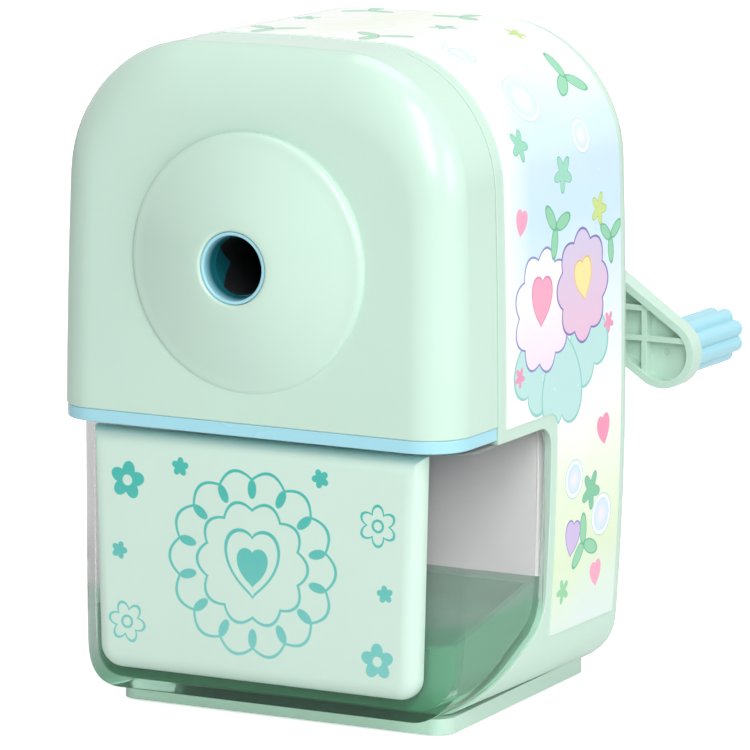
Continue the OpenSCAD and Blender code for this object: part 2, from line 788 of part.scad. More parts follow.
module cutter_axle() {
    front = (disc_back - disc_t + 0.3 - pinion_y) / cos(point_a);
    back = (rear_disc_y + rear_disc_t - 0.6 - pinion_y) / cos(point_a);
    color(steel) on_cutter_axis() translate([0, 0, front]) cylinder(h = back - front, r = axle_r);
}

module helical_cutter() {
    depth = 0.9;
    start = pinion_t / 2 + 0.7;
    color(steel) on_cutter_axis() difference() {
        union() {
            translate([0, 0, start]) linear_extrude(cutter_l, twist = 70, slices = 14) polygon(
                [for (i = [0 : 2 * cutter_teeth - 1]) let (a = 180 / cutter_teeth * (i + (i % 2) * 0.5),
                    r = cutter_r - 0.02 - (i % 2) * depth) [r * cos(a), r * sin(a)]]);
            translate([0, 0, pinion_t / 2]) cylinder(h = 0.8, r = cutter_r - 2);
        }
        translate([0, 0, -1]) cylinder(h = cutter_l + 5, r = axle_r + run_c);
    }
}

module cutter_pinion() {
    color(acetal) on_cutter_axis() translate([0, 0, -pinion_t / 2]) difference() {
        linear_extrude(pinion_t)
            polygon(gear_points(pinion_teeth, pinion_r - tooth_in, 0.27, pinion_r + tooth_out, 0.13));
        translate([0, 0, -1]) cylinder(h = pinion_t + 2, r = axle_r + run_c);
    }
}

// The arm's outline, drawn in by d, seen along the shaft with the shaft at the origin
module arm_outline(d) {
    r = arm_w / 2 - d;
    translate([0, -r]) square([arm_l, 2 * r]);
    translate([arm_l, 0]) circle(r = r);
}

module crank_arm() {
    rib_step = 8.4;
    rib_t = 1;
    color(mint) difference() {
        union() {
            translate([0, 0, axis_z]) rotate([0, arm_a, 0]) translate([0, 0, -axis_z]) difference() {
                union() {
                    difference() {
                        upright(arm_front - 2, arm_back) translate([0, axis_z]) arm_outline(0);
                        upright(arm_front - 3, arm_back - arm_floor) translate([0, axis_z])
                            arm_outline(arm_wall);
                    }
                    // Crossed ribs in the arm's channel
                    upright(arm_front + 0.6, arm_back - arm_floor + 0.1) translate([0, axis_z]) intersection() {
                        arm_outline(arm_wall - 0.1);
                        union() {
                            for (i = [0 : 3]) translate([arm_l - 3.8 - i * rib_step, 0]) {
                                rotate(arm_a) square([30, rib_t], center = true);
                                rotate(arm_a + 90) square([30, rib_t], center = true);
                            }
                        }
                    }
                }
                // Slants the open rim towards the housing at the hub
                translate([arm_l, arm_front, axis_z]) rotate([0, 0, arm_slant])
                    translate([-2 * arm_l, -10, -20]) cube([3 * arm_l, 10, 40]);
            }
            rod(arm_hub_r, hub_front, arm_seat);
        }
        rod(shaft_r, hub_front - 1, arm_seat + 1);
        on_handle_axis() union() {
            rod(pin_r, arm_back - pin_seat, arm_back + 1);
            rod(mark_r, arm_back - arm_floor - 0.2, arm_back - arm_floor + mark_t);
        }
    }
}

module crank_washer() {
    color(steel) difference() {
        rod(washer_r, arm_seat, arm_seat + washer_t);
        rod(hole_r, arm_seat - 1, arm_seat + washer_t + 1);
    }
}

module crank_screw() {
    head_y = arm_seat + washer_t;
    color(steel) difference() {
        union() {
            rod(screw_r - 0.05, arm_seat - crank_bite, head_y + 0.1);
            rod(screw_head_r, head_y, head_y + screw_head_t);
        }
        for (a = [0, 90]) translate([0, head_y + screw_head_t - recess_t, axis_z]) rotate([0, a, 0])
            translate([-recess_l / 2, 0, -recess_w / 2]) cube([recess_l, recess_t + 1, recess_w]);
    }
}

module knob_pin() {
    end = arm_back + knob_gap + knob_l - cap_t;
    color(steel) on_handle_axis() union() {
        rod(pin_r, arm_back - pin_seat, end - 0.8);
        rod(pin_r + 0.8, end - 1.6, end - slide_c);
    }
}

module handle_knob() {
    base = arm_back + knob_gap;
    end = base + knob_l;
    color(sky) on_handle_axis() difference() {
        upright(base, end) translate([0, axis_z]) {
            circle(r = knob_core_r);
            for (i = [0 : knob_lobes - 1]) rotate(360 / knob_lobes * (i + 0.5))
                translate([knob_d / 2 - lobe_r, 0]) circle(r = lobe_r);
        }
        rod(pin_r + run_c, base - 1, end + 1);
        rod(cap_r, end - cap_t - 2, end + 1);
    }
}

module knob_cap() {
    end = arm_back + knob_gap + knob_l;
    color(sky) on_handle_axis() rod(cap_r, end - cap_t, end);
}

housing_shell();
front_cover();
trim_deck();
bay_panel();
pencil_guide();
mechanism_frame();
ring_gear();
inner_bush();
rear_bush();
wrap_film();
base_plate();
grip_pad();
base_screws();
frame_screws();
cover_screws();
drawer_box();
drawer_panel();
shavings_tray();
cutter_carrier();
drive_shaft();
shaft_pin();
cutter_axle();
helical_cutter();
cutter_pinion();
crank_arm();
crank_washer();
crank_screw();
knob_pin();
handle_knob();
knob_cap();
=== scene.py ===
# Hand-cranked pencil sharpener: the visible pieces and finishes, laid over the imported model.
import math

import bmesh
import bpy
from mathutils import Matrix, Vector


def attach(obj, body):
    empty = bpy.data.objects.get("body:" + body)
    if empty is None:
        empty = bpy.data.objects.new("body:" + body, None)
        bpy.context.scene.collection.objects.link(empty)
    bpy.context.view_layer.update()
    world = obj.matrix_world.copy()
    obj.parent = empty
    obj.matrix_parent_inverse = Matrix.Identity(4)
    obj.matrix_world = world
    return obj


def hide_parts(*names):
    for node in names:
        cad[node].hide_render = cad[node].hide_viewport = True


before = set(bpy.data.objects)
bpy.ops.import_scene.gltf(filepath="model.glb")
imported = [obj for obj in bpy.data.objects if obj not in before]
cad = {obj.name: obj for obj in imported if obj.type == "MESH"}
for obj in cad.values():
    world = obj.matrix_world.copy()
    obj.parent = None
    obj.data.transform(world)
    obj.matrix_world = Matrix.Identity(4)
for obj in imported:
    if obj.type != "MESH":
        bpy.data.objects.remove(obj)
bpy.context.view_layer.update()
scene = bpy.context.scene

# ---------------------------------------------------------------- sizes, in millimetres
HALF_W = 34.5          # half of the housing's greatest width
TOP_Z = 104.0          # crown of the housing
CROWN = 0.5            # rise of the top between its corners
CORNER_R = 20.0        # upper corners
FOOT_R = 7.0           # lower corners
KNEE_Z = 9.8           # where the lower corners meet the sides
SHOULDER_Z = 83.5      # where the upper corners meet the sides
LOW_TAPER = 1.5        # how far each side is drawn in from the deck down to the knee
HIGH_TAPER = 0.6       # the same from the deck up to the shoulder
SEAM_Y = -20.1         # front edge of the shell
BACK_Y = 26.5
BACK_R = 4.0           # edge round the back
FACE_Y = -36.1         # front of the cover, at the deck
BASE_Z = 2.8           # underside of the housing
DECK_Z = 45.3
DECK_TOP = 47.3
WALL = 1.8
DRAFT = 0.7            # how much each side, and the top, is drawn in at the back
DRAFT_H = 101.0        # height that the top's share is taken over
SLOPE_Y = -23.9        # where the drawer's bay starts to rise
SLOPE = math.tan(math.radians(27))
WINDOW_TOP = 44.6      # the opening in the sides that shows the drawer
WINDOW_BACK = -2.1
WINDOW_R = 3.5
BEND_R = 6.0           # where the bay's slope turns up into its wall
BEND = math.tan(math.radians(31.5))    # corner taken by each millimetre of that radius
AXIS_Z = 71.6          # height of the pencil's axis
LEAN = math.radians(1.9)
BUSH_R = 7.05          # hole for the rear bush
ARM_L = 39.2
ARM_A = math.radians(34.8)
ARM_BACK = 42.2
HANDLE_X = ARM_L * math.cos(ARM_A)
HANDLE_Z = AXIS_Z - ARM_L * math.sin(ARM_A)
CORNER_X = HALF_W - HIGH_TAPER - CORNER_R
SIDE_HEIGHTS = (12, 21, 30, 39, DECK_TOP, 56, 65, 73, 82)    # where the outline of the sides has a corner
FAR = 40               # half the length of a tool that cuts right across
NEAR_ZERO = 0.0001     # radius at the middle of a turned solid


def side_x(z):
    """Half width of the housing at a height."""
    if z < DECK_TOP:
        return HALF_W - LOW_TAPER * ((DECK_TOP - z) / (DECK_TOP - KNEE_Z)) ** 2
    return HALF_W - HIGH_TAPER * ((z - DECK_TOP) / (SHOULDER_Z - DECK_TOP)) ** 2


def slope_z(y):
    """Height of the bay's sloping floor."""
    return BASE_Z + (y - SLOPE_Y) * SLOPE


# ---------------------------------------------------------------- camera, light and floor
CAMERA_AT = (0.508795, -0.925191, 0.2386)
CAMERA_PITCH, CAMERA_TURN = math.radians(79.829), math.radians(28.699)
bpy.ops.object.camera_add(location=CAMERA_AT, rotation=(CAMERA_PITCH, 0, CAMERA_TURN))
camera = bpy.context.object
camera.name = "camera"
camera.data.lens = 333.22
camera.data.sensor_width = 36
camera.data.clip_end = 30
scene.camera = camera
scene.view_settings.view_transform = "Standard"


def srgb(code, alpha=1.0):
    """The linear colour of an sRGB hex code."""
    parts = [int(code[i:i + 2], 16) / 255 for i in (0, 2, 4)]
    return [p / 12.92 if p <= 0.04045 else ((p + 0.055) / 1.055) ** 2.4 for p in parts] + [alpha]


def add(tree, kind, inputs=None, **settings):
    """Adds a node, with its settings, and links or values for its inputs."""
    made = tree.nodes.new(kind)
    for key, value in settings.items():
        setattr(made, key, value)
    for key, value in (inputs or {}).items():
        if isinstance(value, bpy.types.NodeSocket):
            tree.links.new(value, made.inputs[key])
        else:
            made.inputs[key].default_value = value
    return made


def new_material(name):
    """An empty material and its node tree."""
    finish = bpy.data.materials.new(name)
    finish.use_nodes = True
    finish.node_tree.nodes.clear()
    return finish, finish.node_tree


# Soft white room: the light is gentle, and what is seen straight, through plastic or in a gloss is white
world = bpy.data.worlds.new("studio")
scene.world = world
world.use_nodes = True
world.node_tree.nodes.clear()
room = world.node_tree
path = add(room, "ShaderNodeLightPath")
straight = add(room, "ShaderNodeMath", {
    0: path.outputs["Is Camera Ray"], 1: path.outputs["Is Transmission Ray"]}, operation="MAXIMUM")
seen = add(room, "ShaderNodeMath", {
    0: straight.outputs[0], 1: path.outputs["Is Glossy Ray"]}, operation="MAXIMUM")
soft = add(room, "ShaderNodeBackground", {"Color": srgb("ffffff"), "Strength": 0.27})
white = add(room, "ShaderNodeBackground", {"Color": srgb("ffffff"), "Strength": 1.0})
both = add(room, "ShaderNodeMixShader", {0: seen.outputs[0], 1: soft.outputs[0], 2: white.outputs[0]})
add(room, "ShaderNodeOutputWorld", {"Surface": both.outputs[0]})


def softbox(name, place, aim, size, power):
    """A square lamp at a place, turned to a point."""
    bpy.ops.object.light_add(type="AREA", location=place)
    lamp = bpy.context.object
    lamp.name = name
    lamp.data.shape = "SQUARE"
    lamp.data.size = size
    lamp.data.energy = power
    lamp.rotation_euler = (Vector(place) - Vector(aim)).to_track_quat("Z", "Y").to_euler()


softbox("key", (0.70, -1.05, 0.66), (0, 0, 0.06), 0.5, 7.1)
softbox("corner", (0.56, -0.64, 0.96), (0, 0, 0.07), 0.32, 4.4)
softbox("side", (1.25, -0.25, 0.42), (0, 0, 0.06), 0.6, 4.8)
softbox("overhead", (0.0, 0.25, 1.25), (0, 0, 0.06), 0.8, 5.6)

bpy.ops.mesh.primitive_plane_add(size=12, location=(0, 0, 0))
floor = bpy.context.object
floor.name = "floor"
paper, t = new_material("matt_white_card")
path = add(t, "ShaderNodeLightPath")
card = add(t, "ShaderNodeBsdfDiffuse", {"Color": srgb("f4f4f4")})
glow = add(t, "ShaderNodeEmission", {"Color": srgb("ffffff"), "Strength": 0.7})
lit = add(t, "ShaderNodeAddShader", {0: card.outputs[0], 1: glow.outputs[0]})
pick_card = add(t, "ShaderNodeMixShader", {
    0: path.outputs["Is Camera Ray"], 1: card.outputs[0], 2: lit.outputs[0]})
add(t, "ShaderNodeOutputMaterial", {"Surface": pick_card.outputs[0]})
floor.data.materials.append(paper)


# ---------------------------------------------------------------- finishes
def moulded(name, code, rough, grain_mm=0.35, grain=0.03, mottle=0.06):
    """Injection-moulded plastic: an even colour, a faint flow mottle and the die's fine grain."""
    finish, t = new_material(name)
    where = add(t, "ShaderNodeTexCoord").outputs["Object"]
    flow = add(t, "ShaderNodeTexNoise", {"Vector": where, "Scale": 35.0, "Detail": 3.0})
    deep = [c * (1 - mottle) for c in srgb(code)[:3]] + [1]
    colour = add(t, "ShaderNodeMix", {0: flow.outputs[0], 6: deep, 7: srgb(code)}, data_type="RGBA")
    shine = add(t, "ShaderNodeMapRange", {0: flow.outputs[0], 3: rough - 0.04, 4: rough + 0.05})
    pits = add(t, "ShaderNodeTexNoise", {"Vector": where, "Scale": 1000 / grain_mm, "Detail": 2.0})
    bump = add(t, "ShaderNodeBump", {"Strength": grain, "Distance": 0.0001, "Height": pits.outputs[0]})
    body = add(t, "ShaderNodeBsdfPrincipled", {
        "Base Color": colour.outputs[2], "Roughness": shine.outputs[0], "IOR": 1.5, "Normal": bump.outputs[0]})
    add(t, "ShaderNodeOutputMaterial", {"Surface": body.outputs[0]})
    return finish


# Glossy ABS in pastel mint: soft broad highlights, no visible grain at arm's length
mint = moulded("mint_abs", "c4e0d1", 0.24)
# The same ABS in light blue: deck, port and handle
sky = moulded("light_blue_abs", "a3dae8", 0.26)
# Die-grained grey ABS of the inner parts
grey = moulded("grey_abs", "dcdedd", 0.45, grain=0.1)
# Natural acetal: waxy off-white of the ring, pinion and bushes
acetal = moulded("natural_acetal", "eceae2", 0.38)
# White ABS of the wall behind the drawer, lightened from the inner parts' grey as painted light for the shaded
# bay
white_abs_painted_light = moulded("white_abs_painted_light", "f6f7f6", 0.4, grain=0.1)
# Mint ABS of the floor and the low wall under the drawer, made a deeper green as painted shade of the closed
# bay
painted_shade_mint = moulded("mint_abs_painted_shade", "43906f", 0.3)
# Black nylon of the cutter carrier, also used for the sleeve of painted shade in the port's bore
black = moulded("black_nylon", "26292b", 0.42, mottle=0.2)
# Grey-green thermoplastic rubber of the grip pad, matt and lightly grained
rubber = moulded("tpr_rubber", "8d9b95", 0.75, grain=0.3, grain_mm=0.6)


def ground_steel(name, code, rough):
    """Bright steel with the fine straight marks of turning and grinding."""
    finish, t = new_material(name)
    where = add(t, "ShaderNodeTexCoord").outputs["Object"]
    stretch = add(t, "ShaderNodeMapping", {"Vector": where, "Scale": (1.0, 30.0, 1.0)})
    marks = add(t, "ShaderNodeTexNoise", {"Vector": stretch.outputs[0], "Scale": 400.0, "Detail": 2.0})
    shine = add(t, "ShaderNodeMapRange", {0: marks.outputs[0], 3: rough - 0.08, 4: rough + 0.08})
    bump = add(t, "ShaderNodeBump", {"Strength": 0.05, "Distance": 0.0001, "Height": marks.outputs[0]})
    body = add(t, "ShaderNodeBsdfPrincipled", {
        "Base Color": srgb(code), "Metallic": 1.0, "Roughness": shine.outputs[0], "Normal": bump.outputs[0]})
    add(t, "ShaderNodeOutputMaterial", {"Surface": body.outputs[0]})
    return finish


# Zinc-plated screws and turned steel pins
steel = ground_steel("turned_steel", "c3c6c9", 0.3)

# Heights between which the drawer's painted green changes, in metres: at its rounded foot, and where the
# painted green ends
PAINTED_FOOT_GREEN, PAINTED_GREEN_END = (0.0045, 0.009), (0.0175, 0.0185)


def clear_plastic(name, code, painted_green_code, painted_foot_code, rough, weight, lets, ior, coat):
    """Polystyrene that light passes through, with painted green light from the mint around it, greener towards
    the bottom, and shadows as light as its tint.
    """
    finish, t = new_material(name)
    where = add(t, "ShaderNodeTexCoord").outputs["Object"]
    flow = add(t, "ShaderNodeTexNoise", {"Vector": where, "Scale": 40.0, "Detail": 2.0})
    shine = add(t, "ShaderNodeMapRange", {0: flow.outputs[0], 3: rough, 4: rough + 0.03})
    height = add(t, "ShaderNodeSeparateXYZ", {0: where})
    # Painted light: the green of the mint around the drawer, mixed in by height, deepest at the rounded foot
    foot = add(t, "ShaderNodeMapRange", {0: height.outputs[2], 1: PAINTED_FOOT_GREEN[0], 2: PAINTED_FOOT_GREEN[1]})
    low = add(t, "ShaderNodeMix", {
        0: foot.outputs[0], 6: srgb(painted_foot_code), 7: srgb(painted_green_code)}, data_type="RGBA")
    rise = add(t, "ShaderNodeMapRange", {0: height.outputs[2], 1: PAINTED_GREEN_END[0], 2: PAINTED_GREEN_END[1]})
    tint = add(t, "ShaderNodeMix", {0: rise.outputs[0], 6: low.outputs[2], 7: srgb(code)}, data_type="RGBA")
    body = add(t, "ShaderNodeBsdfPrincipled", {
        "Base Color": tint.outputs[2], "Roughness": shine.outputs[0], "IOR": ior, "Transmission Weight": weight,
        "Coat Weight": coat, "Coat Roughness": 0.03})
    ray = add(t, "ShaderNodeLightPath")
    open_way = add(t, "ShaderNodeBsdfTransparent", {"Color": srgb(lets)})
    both = add(t, "ShaderNodeMixShader", {
        0: ray.outputs["Is Shadow Ray"], 1: body.outputs[0], 2: open_way.outputs[0]})
    add(t, "ShaderNodeOutputMaterial", {"Surface": both.outputs[0]})
    return finish


# Smoke-clear polystyrene of the drawer: clear on the flat, its lower part painted green as light from the green
# behind it
smoke = clear_plastic("smoke_polystyrene", "e9e9e9", "cde4d9", "9ad6b7", 0.03, 0.94, "fcfcfc", 1.05, 0.6)
# Green-tinted polystyrene of the shavings tray, its deep green partly painted shade of the mint bay, darker
# still at the foot
leaf = clear_plastic("green_polystyrene", "3e8767", "3e8767", "3a8061", 0.12, 0.15, "b9dccb", 1.2, 0.2)


# ---------------------------------------------------------------- modelling helpers
def only(piece):
    """Selects one piece alone and makes it the active one."""
    bpy.ops.object.select_all(action="DESELECT")
    piece.select_set(True)
    bpy.context.view_layer.objects.active = piece


def edit(piece):
    """Opens one piece for editing."""
    only(piece)
    bpy.ops.object.mode_set(mode="EDIT")


def close():
    """Leaves edit mode."""
    bpy.ops.object.mode_set(mode="OBJECT")


def pick(piece, kind, test):
    """In edit mode, selects the piece's vertices, edges or faces that pass the test."""
    bpy.ops.mesh.select_mode(type=kind)
    bpy.ops.mesh.select_all(action="DESELECT")
    mesh = bmesh.from_edit_mesh(piece.data)
    for part in {"VERT": mesh.verts, "EDGE": mesh.edges, "FACE": mesh.faces}[kind]:
        if test(part):
            part.select_set(True)
    mesh.select_flush_mode()
    bmesh.update_edit_mesh(piece.data)


def delete_faces(piece, test):
    """Takes away the faces that pass the test."""
    edit(piece)
    pick(piece, "FACE", test)
    bpy.ops.mesh.delete(type="FACE")
    close()


def at(part, axis, value, slack=0.02):
    """Whether all of an edge's or face's corners lie at a value along an axis, in millimetres."""
    return all(abs(v.co[axis] * 1000 - value) < slack for v in part.verts)


def quarter(steps):
    """The first and last angle of each step round a quarter circle."""
    return [(math.pi / 2 * i / steps, math.pi / 2 * (i + 1) / steps) for i in range(steps)]


def roll(radius, a0, a1, way):
    """One step of a rounded edge: the selected face is drawn in and moved along Y."""
    bpy.ops.mesh.inset(thickness=radius / 1000 * (math.cos(a0) - math.cos(a1)), use_even_offset=True)
    bpy.ops.transform.translate(value=(0, way * radius / 1000 * (math.sin(a1) - math.sin(a0)), 0))


def trace(name, spots):
    """Draws an outline corner by corner and closes it with a face. Spots are in mm. Stays in edit mode."""
    bpy.ops.object.select_all(action="DESELECT")
    bpy.ops.mesh.primitive_plane_add(size=0.001, location=[c / 1000 for c in spots[0]])
    piece = bpy.context.object
    piece.name = name
    bpy.ops.object.transform_apply(location=True)
    bpy.ops.object.mode_set(mode="EDIT")
    bpy.ops.mesh.select_mode(type="VERT")
    bpy.ops.mesh.select_all(action="SELECT")
    bpy.ops.mesh.merge(type="CENTER")
    for here, there in zip(spots, spots[1:]):
        step = [(b - a) / 1000 for a, b in zip(here, there)]
        bpy.ops.mesh.extrude_vertices_move(TRANSFORM_OT_translate={"value": step})
    bpy.ops.mesh.select_all(action="SELECT")
    bpy.ops.mesh.edge_face_add()
    return piece


def block(name, corners, plane, low, high, rounds=()):
    """A solid with a traced outline in a plane, from low to high across it, with some corners rounded."""
    across, up, deep = {"XZ": (0, 2, 1), "YZ": (1, 2, 0), "XY": (0, 1, 2)}[plane]
    spots = []
    for corner in corners:
        spot = [0, 0, 0]
        spot[across], spot[up], spot[deep] = corner[0], corner[1], low
        spots.append(spot)
    piece = trace(name, spots)
    for group, reach, segments in rounds:
        for corner in group:
            pick(piece, "VERT", lambda v: max(abs(v.co[across] * 1000 - corner[0]),
                                              abs(v.co[up] * 1000 - corner[1])) < 0.01)
            bpy.ops.mesh.bevel(offset=reach / 1000, offset_type="OFFSET", segments=segments, affect="VERTICES")
    bpy.ops.mesh.select_all(action="SELECT")
    rise = [0, 0, 0]
    rise[deep] = (high - low) / 1000
    bpy.ops.mesh.extrude_region_move(TRANSFORM_OT_translate={"value": rise})
    bpy.ops.mesh.select_all(action="SELECT")
    bpy.ops.mesh.normals_make_consistent(inside=False)
    close()
    return piece


def turned(name, profile, steps=96, centre=(0, AXIS_Z)):
    """A closed profile of (radius, y) turned about an axis along Y."""
    piece = trace(name, [(centre[0] + r, y, centre[1]) for r, y in profile])
    bpy.ops.mesh.delete(type="ONLY_FACE")
    bpy.ops.mesh.select_all(action="SELECT")
    middle = (centre[0] / 1000, 0, centre[1] / 1000)
    bpy.ops.mesh.spin(steps=steps, angle=math.tau, center=middle, axis=(0, 1, 0))
    bpy.ops.mesh.select_all(action="SELECT")
    bpy.ops.mesh.remove_doubles(threshold=0.000002)
    bpy.ops.mesh.normals_make_consistent(inside=False)
    close()
    return piece


def peg(name, radius, y0, y1, steps=96, centre=(0, AXIS_Z)):
    """A plain round bar along Y."""
    return turned(name, [(NEAR_ZERO, y0), (radius, y0), (radius, y1), (NEAR_ZERO, y1)], steps, centre)


def apply_modifier(piece, kind, **settings):
    """Adds a modifier to a piece and applies it."""
    only(piece)
    bpy.ops.object.modifier_add(type=kind)
    change = piece.modifiers[-1]
    for key, value in settings.items():
        setattr(change, key, value)
    bpy.ops.object.modifier_apply(modifier=change.name)
    return piece


def combine(piece, tool, how):
    """Cuts, joins or trims a piece with another one, which is used up."""
    apply_modifier(piece, "BOOLEAN", operation=how, solver="EXACT", object=tool)
    bpy.data.objects.remove(tool)
    return piece


def thicken(piece, wall, offset=-1):
    """Gives an open skin its wall, in millimetres."""
    return apply_modifier(piece, "SOLIDIFY", thickness=wall / 1000, offset=offset, use_even_offset=True)


def copy_of(piece, name):
    """A copy of a piece, with its own mesh."""
    twin = piece.copy()
    twin.data = piece.data.copy()
    twin.name = name
    scene.collection.objects.link(twin)
    return twin


def settle(piece):
    """Puts a piece's place and turn into its mesh."""
    only(piece)
    bpy.ops.object.transform_apply(location=True, rotation=True, scale=True)


def swing(piece, a):
    """Turns a piece about the shaft's axis."""
    piece.rotation_euler = (0, a, 0)
    piece.location = (-AXIS_Z / 1000 * math.sin(a), 0, AXIS_Z / 1000 * (1 - math.cos(a)))
    settle(piece)


def done(piece, body, finish, nodes, soft_edge=0.0, smooth=32):
    """Softens the edges, smooths the shading and sets the piece on its body."""
    if soft_edge:
        apply_modifier(piece, "BEVEL", width=soft_edge / 1000, segments=3, limit_method="ANGLE",
                       angle_limit=math.radians(40))
    only(piece)
    bpy.ops.object.shade_smooth_by_angle(angle=math.radians(smooth))
    apply_modifier(piece, "WEIGHTED_NORMAL", keep_sharp=True, weight=60)
    piece.data.materials.clear()
    piece.data.materials.append(finish)
    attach(piece, body)
    if nodes:
        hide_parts(*nodes)
    return piece


def housing_outline(inset, low=None):
    """Corners of the housing's outline seen from the front, before its corners are rounded."""
    low_z = BASE_Z + inset if low is None else low
    high_z = TOP_Z - inset - CORNER_R - 0.6
    right = [(side_x(z) - inset, z) for z in [low_z] + [z for z in SIDE_HEIGHTS if low_z + 5 < z < high_z]]
    top = TOP_Z - CROWN - inset
    ridge = side_x(top) - inset
    crown = [(ridge, top), (7, top + 0.37), (0, top + CROWN), (-7, top + 0.37), (-ridge, top)]
    return right + crown + [(-x, z) for x, z in reversed(right)]


def housing_block(name, y0, y1, inset=0.0, low=None):
    """A length of the housing's form, drawn in by inset, down to its foot or to a height."""
    outline = housing_outline(inset, low)
    top = [c for c in outline if abs(c[1] - (TOP_Z - CROWN - inset)) < 0.001 and abs(c[0]) > 20]
    rounds = [(top, CORNER_R - inset, 16)]
    if low is None:
        foot = [c for c in outline if abs(c[1] - (BASE_Z + inset)) < 0.001]
        rounds.append((foot, FOOT_R - inset, 8))
    return block(name, outline, "XZ", y0, y1, rounds)


# ---------------------------------------------------------------- housing shell
def back_edge(piece):
    """Draws the back in for the draft and rounds the edge round it."""
    y1 = (BACK_Y - BACK_R) / 1000
    edit(piece)
    pick(piece, "VERT", lambda v: v.co.y > y1 - 1e-5)
    shrink = (1 - DRAFT / HALF_W, 1, 1 - DRAFT / DRAFT_H)
    bpy.ops.transform.resize(value=shrink, center_override=(0, y1, BASE_Z / 1000))
    pick(piece, "FACE", lambda f: f.normal.y > 0.99 and at(f, 1, BACK_Y - BACK_R))
    for a0, a1 in quarter(6):
        roll(BACK_R, a0, a1, 1)
    close()


BAY_Y = SLOPE_Y + 0.8        # front end of the shell's lower part
shell = housing_block("housing_shell_body", BAY_Y, BACK_Y - BACK_R)
back_edge(shell)
film = copy_of(shell, "printed_film")
delete_faces(shell, lambda f: f.normal.y < -0.99)
thicken(shell, WALL)

bend_spot = (WINDOW_BACK, slope_z(WINDOW_BACK))
window = block("window_cut", [
    (-50, BASE_Z - 2), (SLOPE_Y, BASE_Z - 2), (SLOPE_Y, BASE_Z), bend_spot, (WINDOW_BACK, WINDOW_TOP),
    (-50, WINDOW_TOP)], "YZ", -FAR, FAR,
    [([bend_spot], BEND_R * BEND, 10), ([(WINDOW_BACK, WINDOW_TOP)], WINDOW_R, 8)])
combine(shell, window, "DIFFERENCE")
front_cut = block("front_cut", [
    (-50, slope_z(SEAM_Y)), (SEAM_Y, slope_z(SEAM_Y)), (SEAM_Y, 120), (-50, 120)], "YZ", -FAR, FAR)
combine(shell, front_cut, "DIFFERENCE")

# Floor that slopes up under the drawer, and the low wall behind it
LOW_WALL_BACK, LOW_WALL_TOP, FLOOR_T, FLOOR_END = -0.5, 21, 1.6, -6.1
bay = block("bay_floor", [
    (BAY_Y, BASE_Z), (FLOOR_END, BASE_Z), (FLOOR_END, slope_z(FLOOR_END) - FLOOR_T),
    (LOW_WALL_BACK, slope_z(LOW_WALL_BACK) - FLOOR_T), (LOW_WALL_BACK, LOW_WALL_TOP),
    (WINDOW_BACK, LOW_WALL_TOP), bend_spot, (BAY_Y, slope_z(BAY_Y))], "YZ", -33, 33,
    [([bend_spot], BEND_R * BEND, 8)])
combine(bay, housing_block("bay_trim", -30, 10, inset=WALL - 0.02), "INTERSECT")
# Ledges that carry the deck, and the boss round the rear bush
LEDGE_IN, LEDGE_OUT = 29.6, 33.4
ledges = [block("ledge", [
    (s * LEDGE_IN, WINDOW_TOP), (s * LEDGE_OUT, WINDOW_TOP), (s * LEDGE_OUT, DECK_Z), (s * LEDGE_IN, DECK_Z)],
    "XZ", SEAM_Y + 0.1, WINDOW_BACK - 0.1) for s in (-1, 1)]
BOSS_R, BOSS_NECK, BOSS_BORE, BOSS_BACK = 12.05, 9.2, 7.0, BACK_Y + 3
boss = turned("rear_boss", [
    (BOSS_BORE, BACK_Y - 5.8), (BOSS_NECK, BACK_Y - 5.8), (BOSS_NECK, BACK_Y - 1), (BOSS_R, BACK_Y - 1),
    (BOSS_R, BOSS_BACK - 0.5), (BOSS_R - 0.15, BOSS_BACK - 0.15), (BOSS_R - 0.5, BOSS_BACK),
    (BOSS_BORE, BOSS_BACK)])
combine(shell, peg("bush_cut", BUSH_R, BACK_Y - 9, BACK_Y + 6), "DIFFERENCE")
done(shell, "housing", mint, ["housing_shell"], soft_edge=0.35)
# The bay's floor and low wall: mint deepened as painted shade
done(bay, "housing", painted_shade_mint, ["housing_shell"])
for ledge in ledges:
    done(ledge, "housing", mint, ["housing_shell"])
done(boss, "housing", mint, ["housing_shell"])
# Tongue that fills the seam to the cover
seam = housing_block("seam_tongue", SEAM_Y - 2.5, SEAM_Y + 1.5, inset=WALL + 0.1, low=DECK_TOP + 0.3)
delete_faces(seam, lambda f: abs(f.normal.y) > 0.99 or f.normal.z < -0.99)
thicken(seam, 1.2)
done(seam, "housing", mint, ["housing_shell"])

# ---------------------------------------------------------------- printed film
FILM_FRONT, FILM_BACK, FILM_LOW = -17.5, 21.5, 11.4
NOTCH_TOP, NOTCH_BACK = 46.6, -0.1
film_shape = block("film_shape", [
    (FILM_FRONT, 120), (FILM_FRONT, NOTCH_TOP), (NOTCH_BACK, NOTCH_TOP), (NOTCH_BACK, FILM_LOW),
    (FILM_BACK, FILM_LOW), (FILM_BACK, 120)], "YZ", -FAR, FAR, [([(NOTCH_BACK, NOTCH_TOP)], 3, 8)])
combine(film, film_shape, "INTERSECT")


def on_skin(face):
    """Whether a face of the trimmed block is part of the housing's outer surface."""
    x, y, z = (c * 1000 for c in face.calc_center_median())
    if abs(face.normal.y) > 0.5:
        return False
    if z > SHOULDER_Z - 1:
        on_top = abs(x) < 15 and z > TOP_Z - 3
        return on_top or math.hypot(max(abs(x) - CORNER_X, 0), z - SHOULDER_Z + 1) > CORNER_R - 2.5
    return abs(x) > side_x(z) - 2.0


delete_faces(film, lambda f: not on_skin(f))


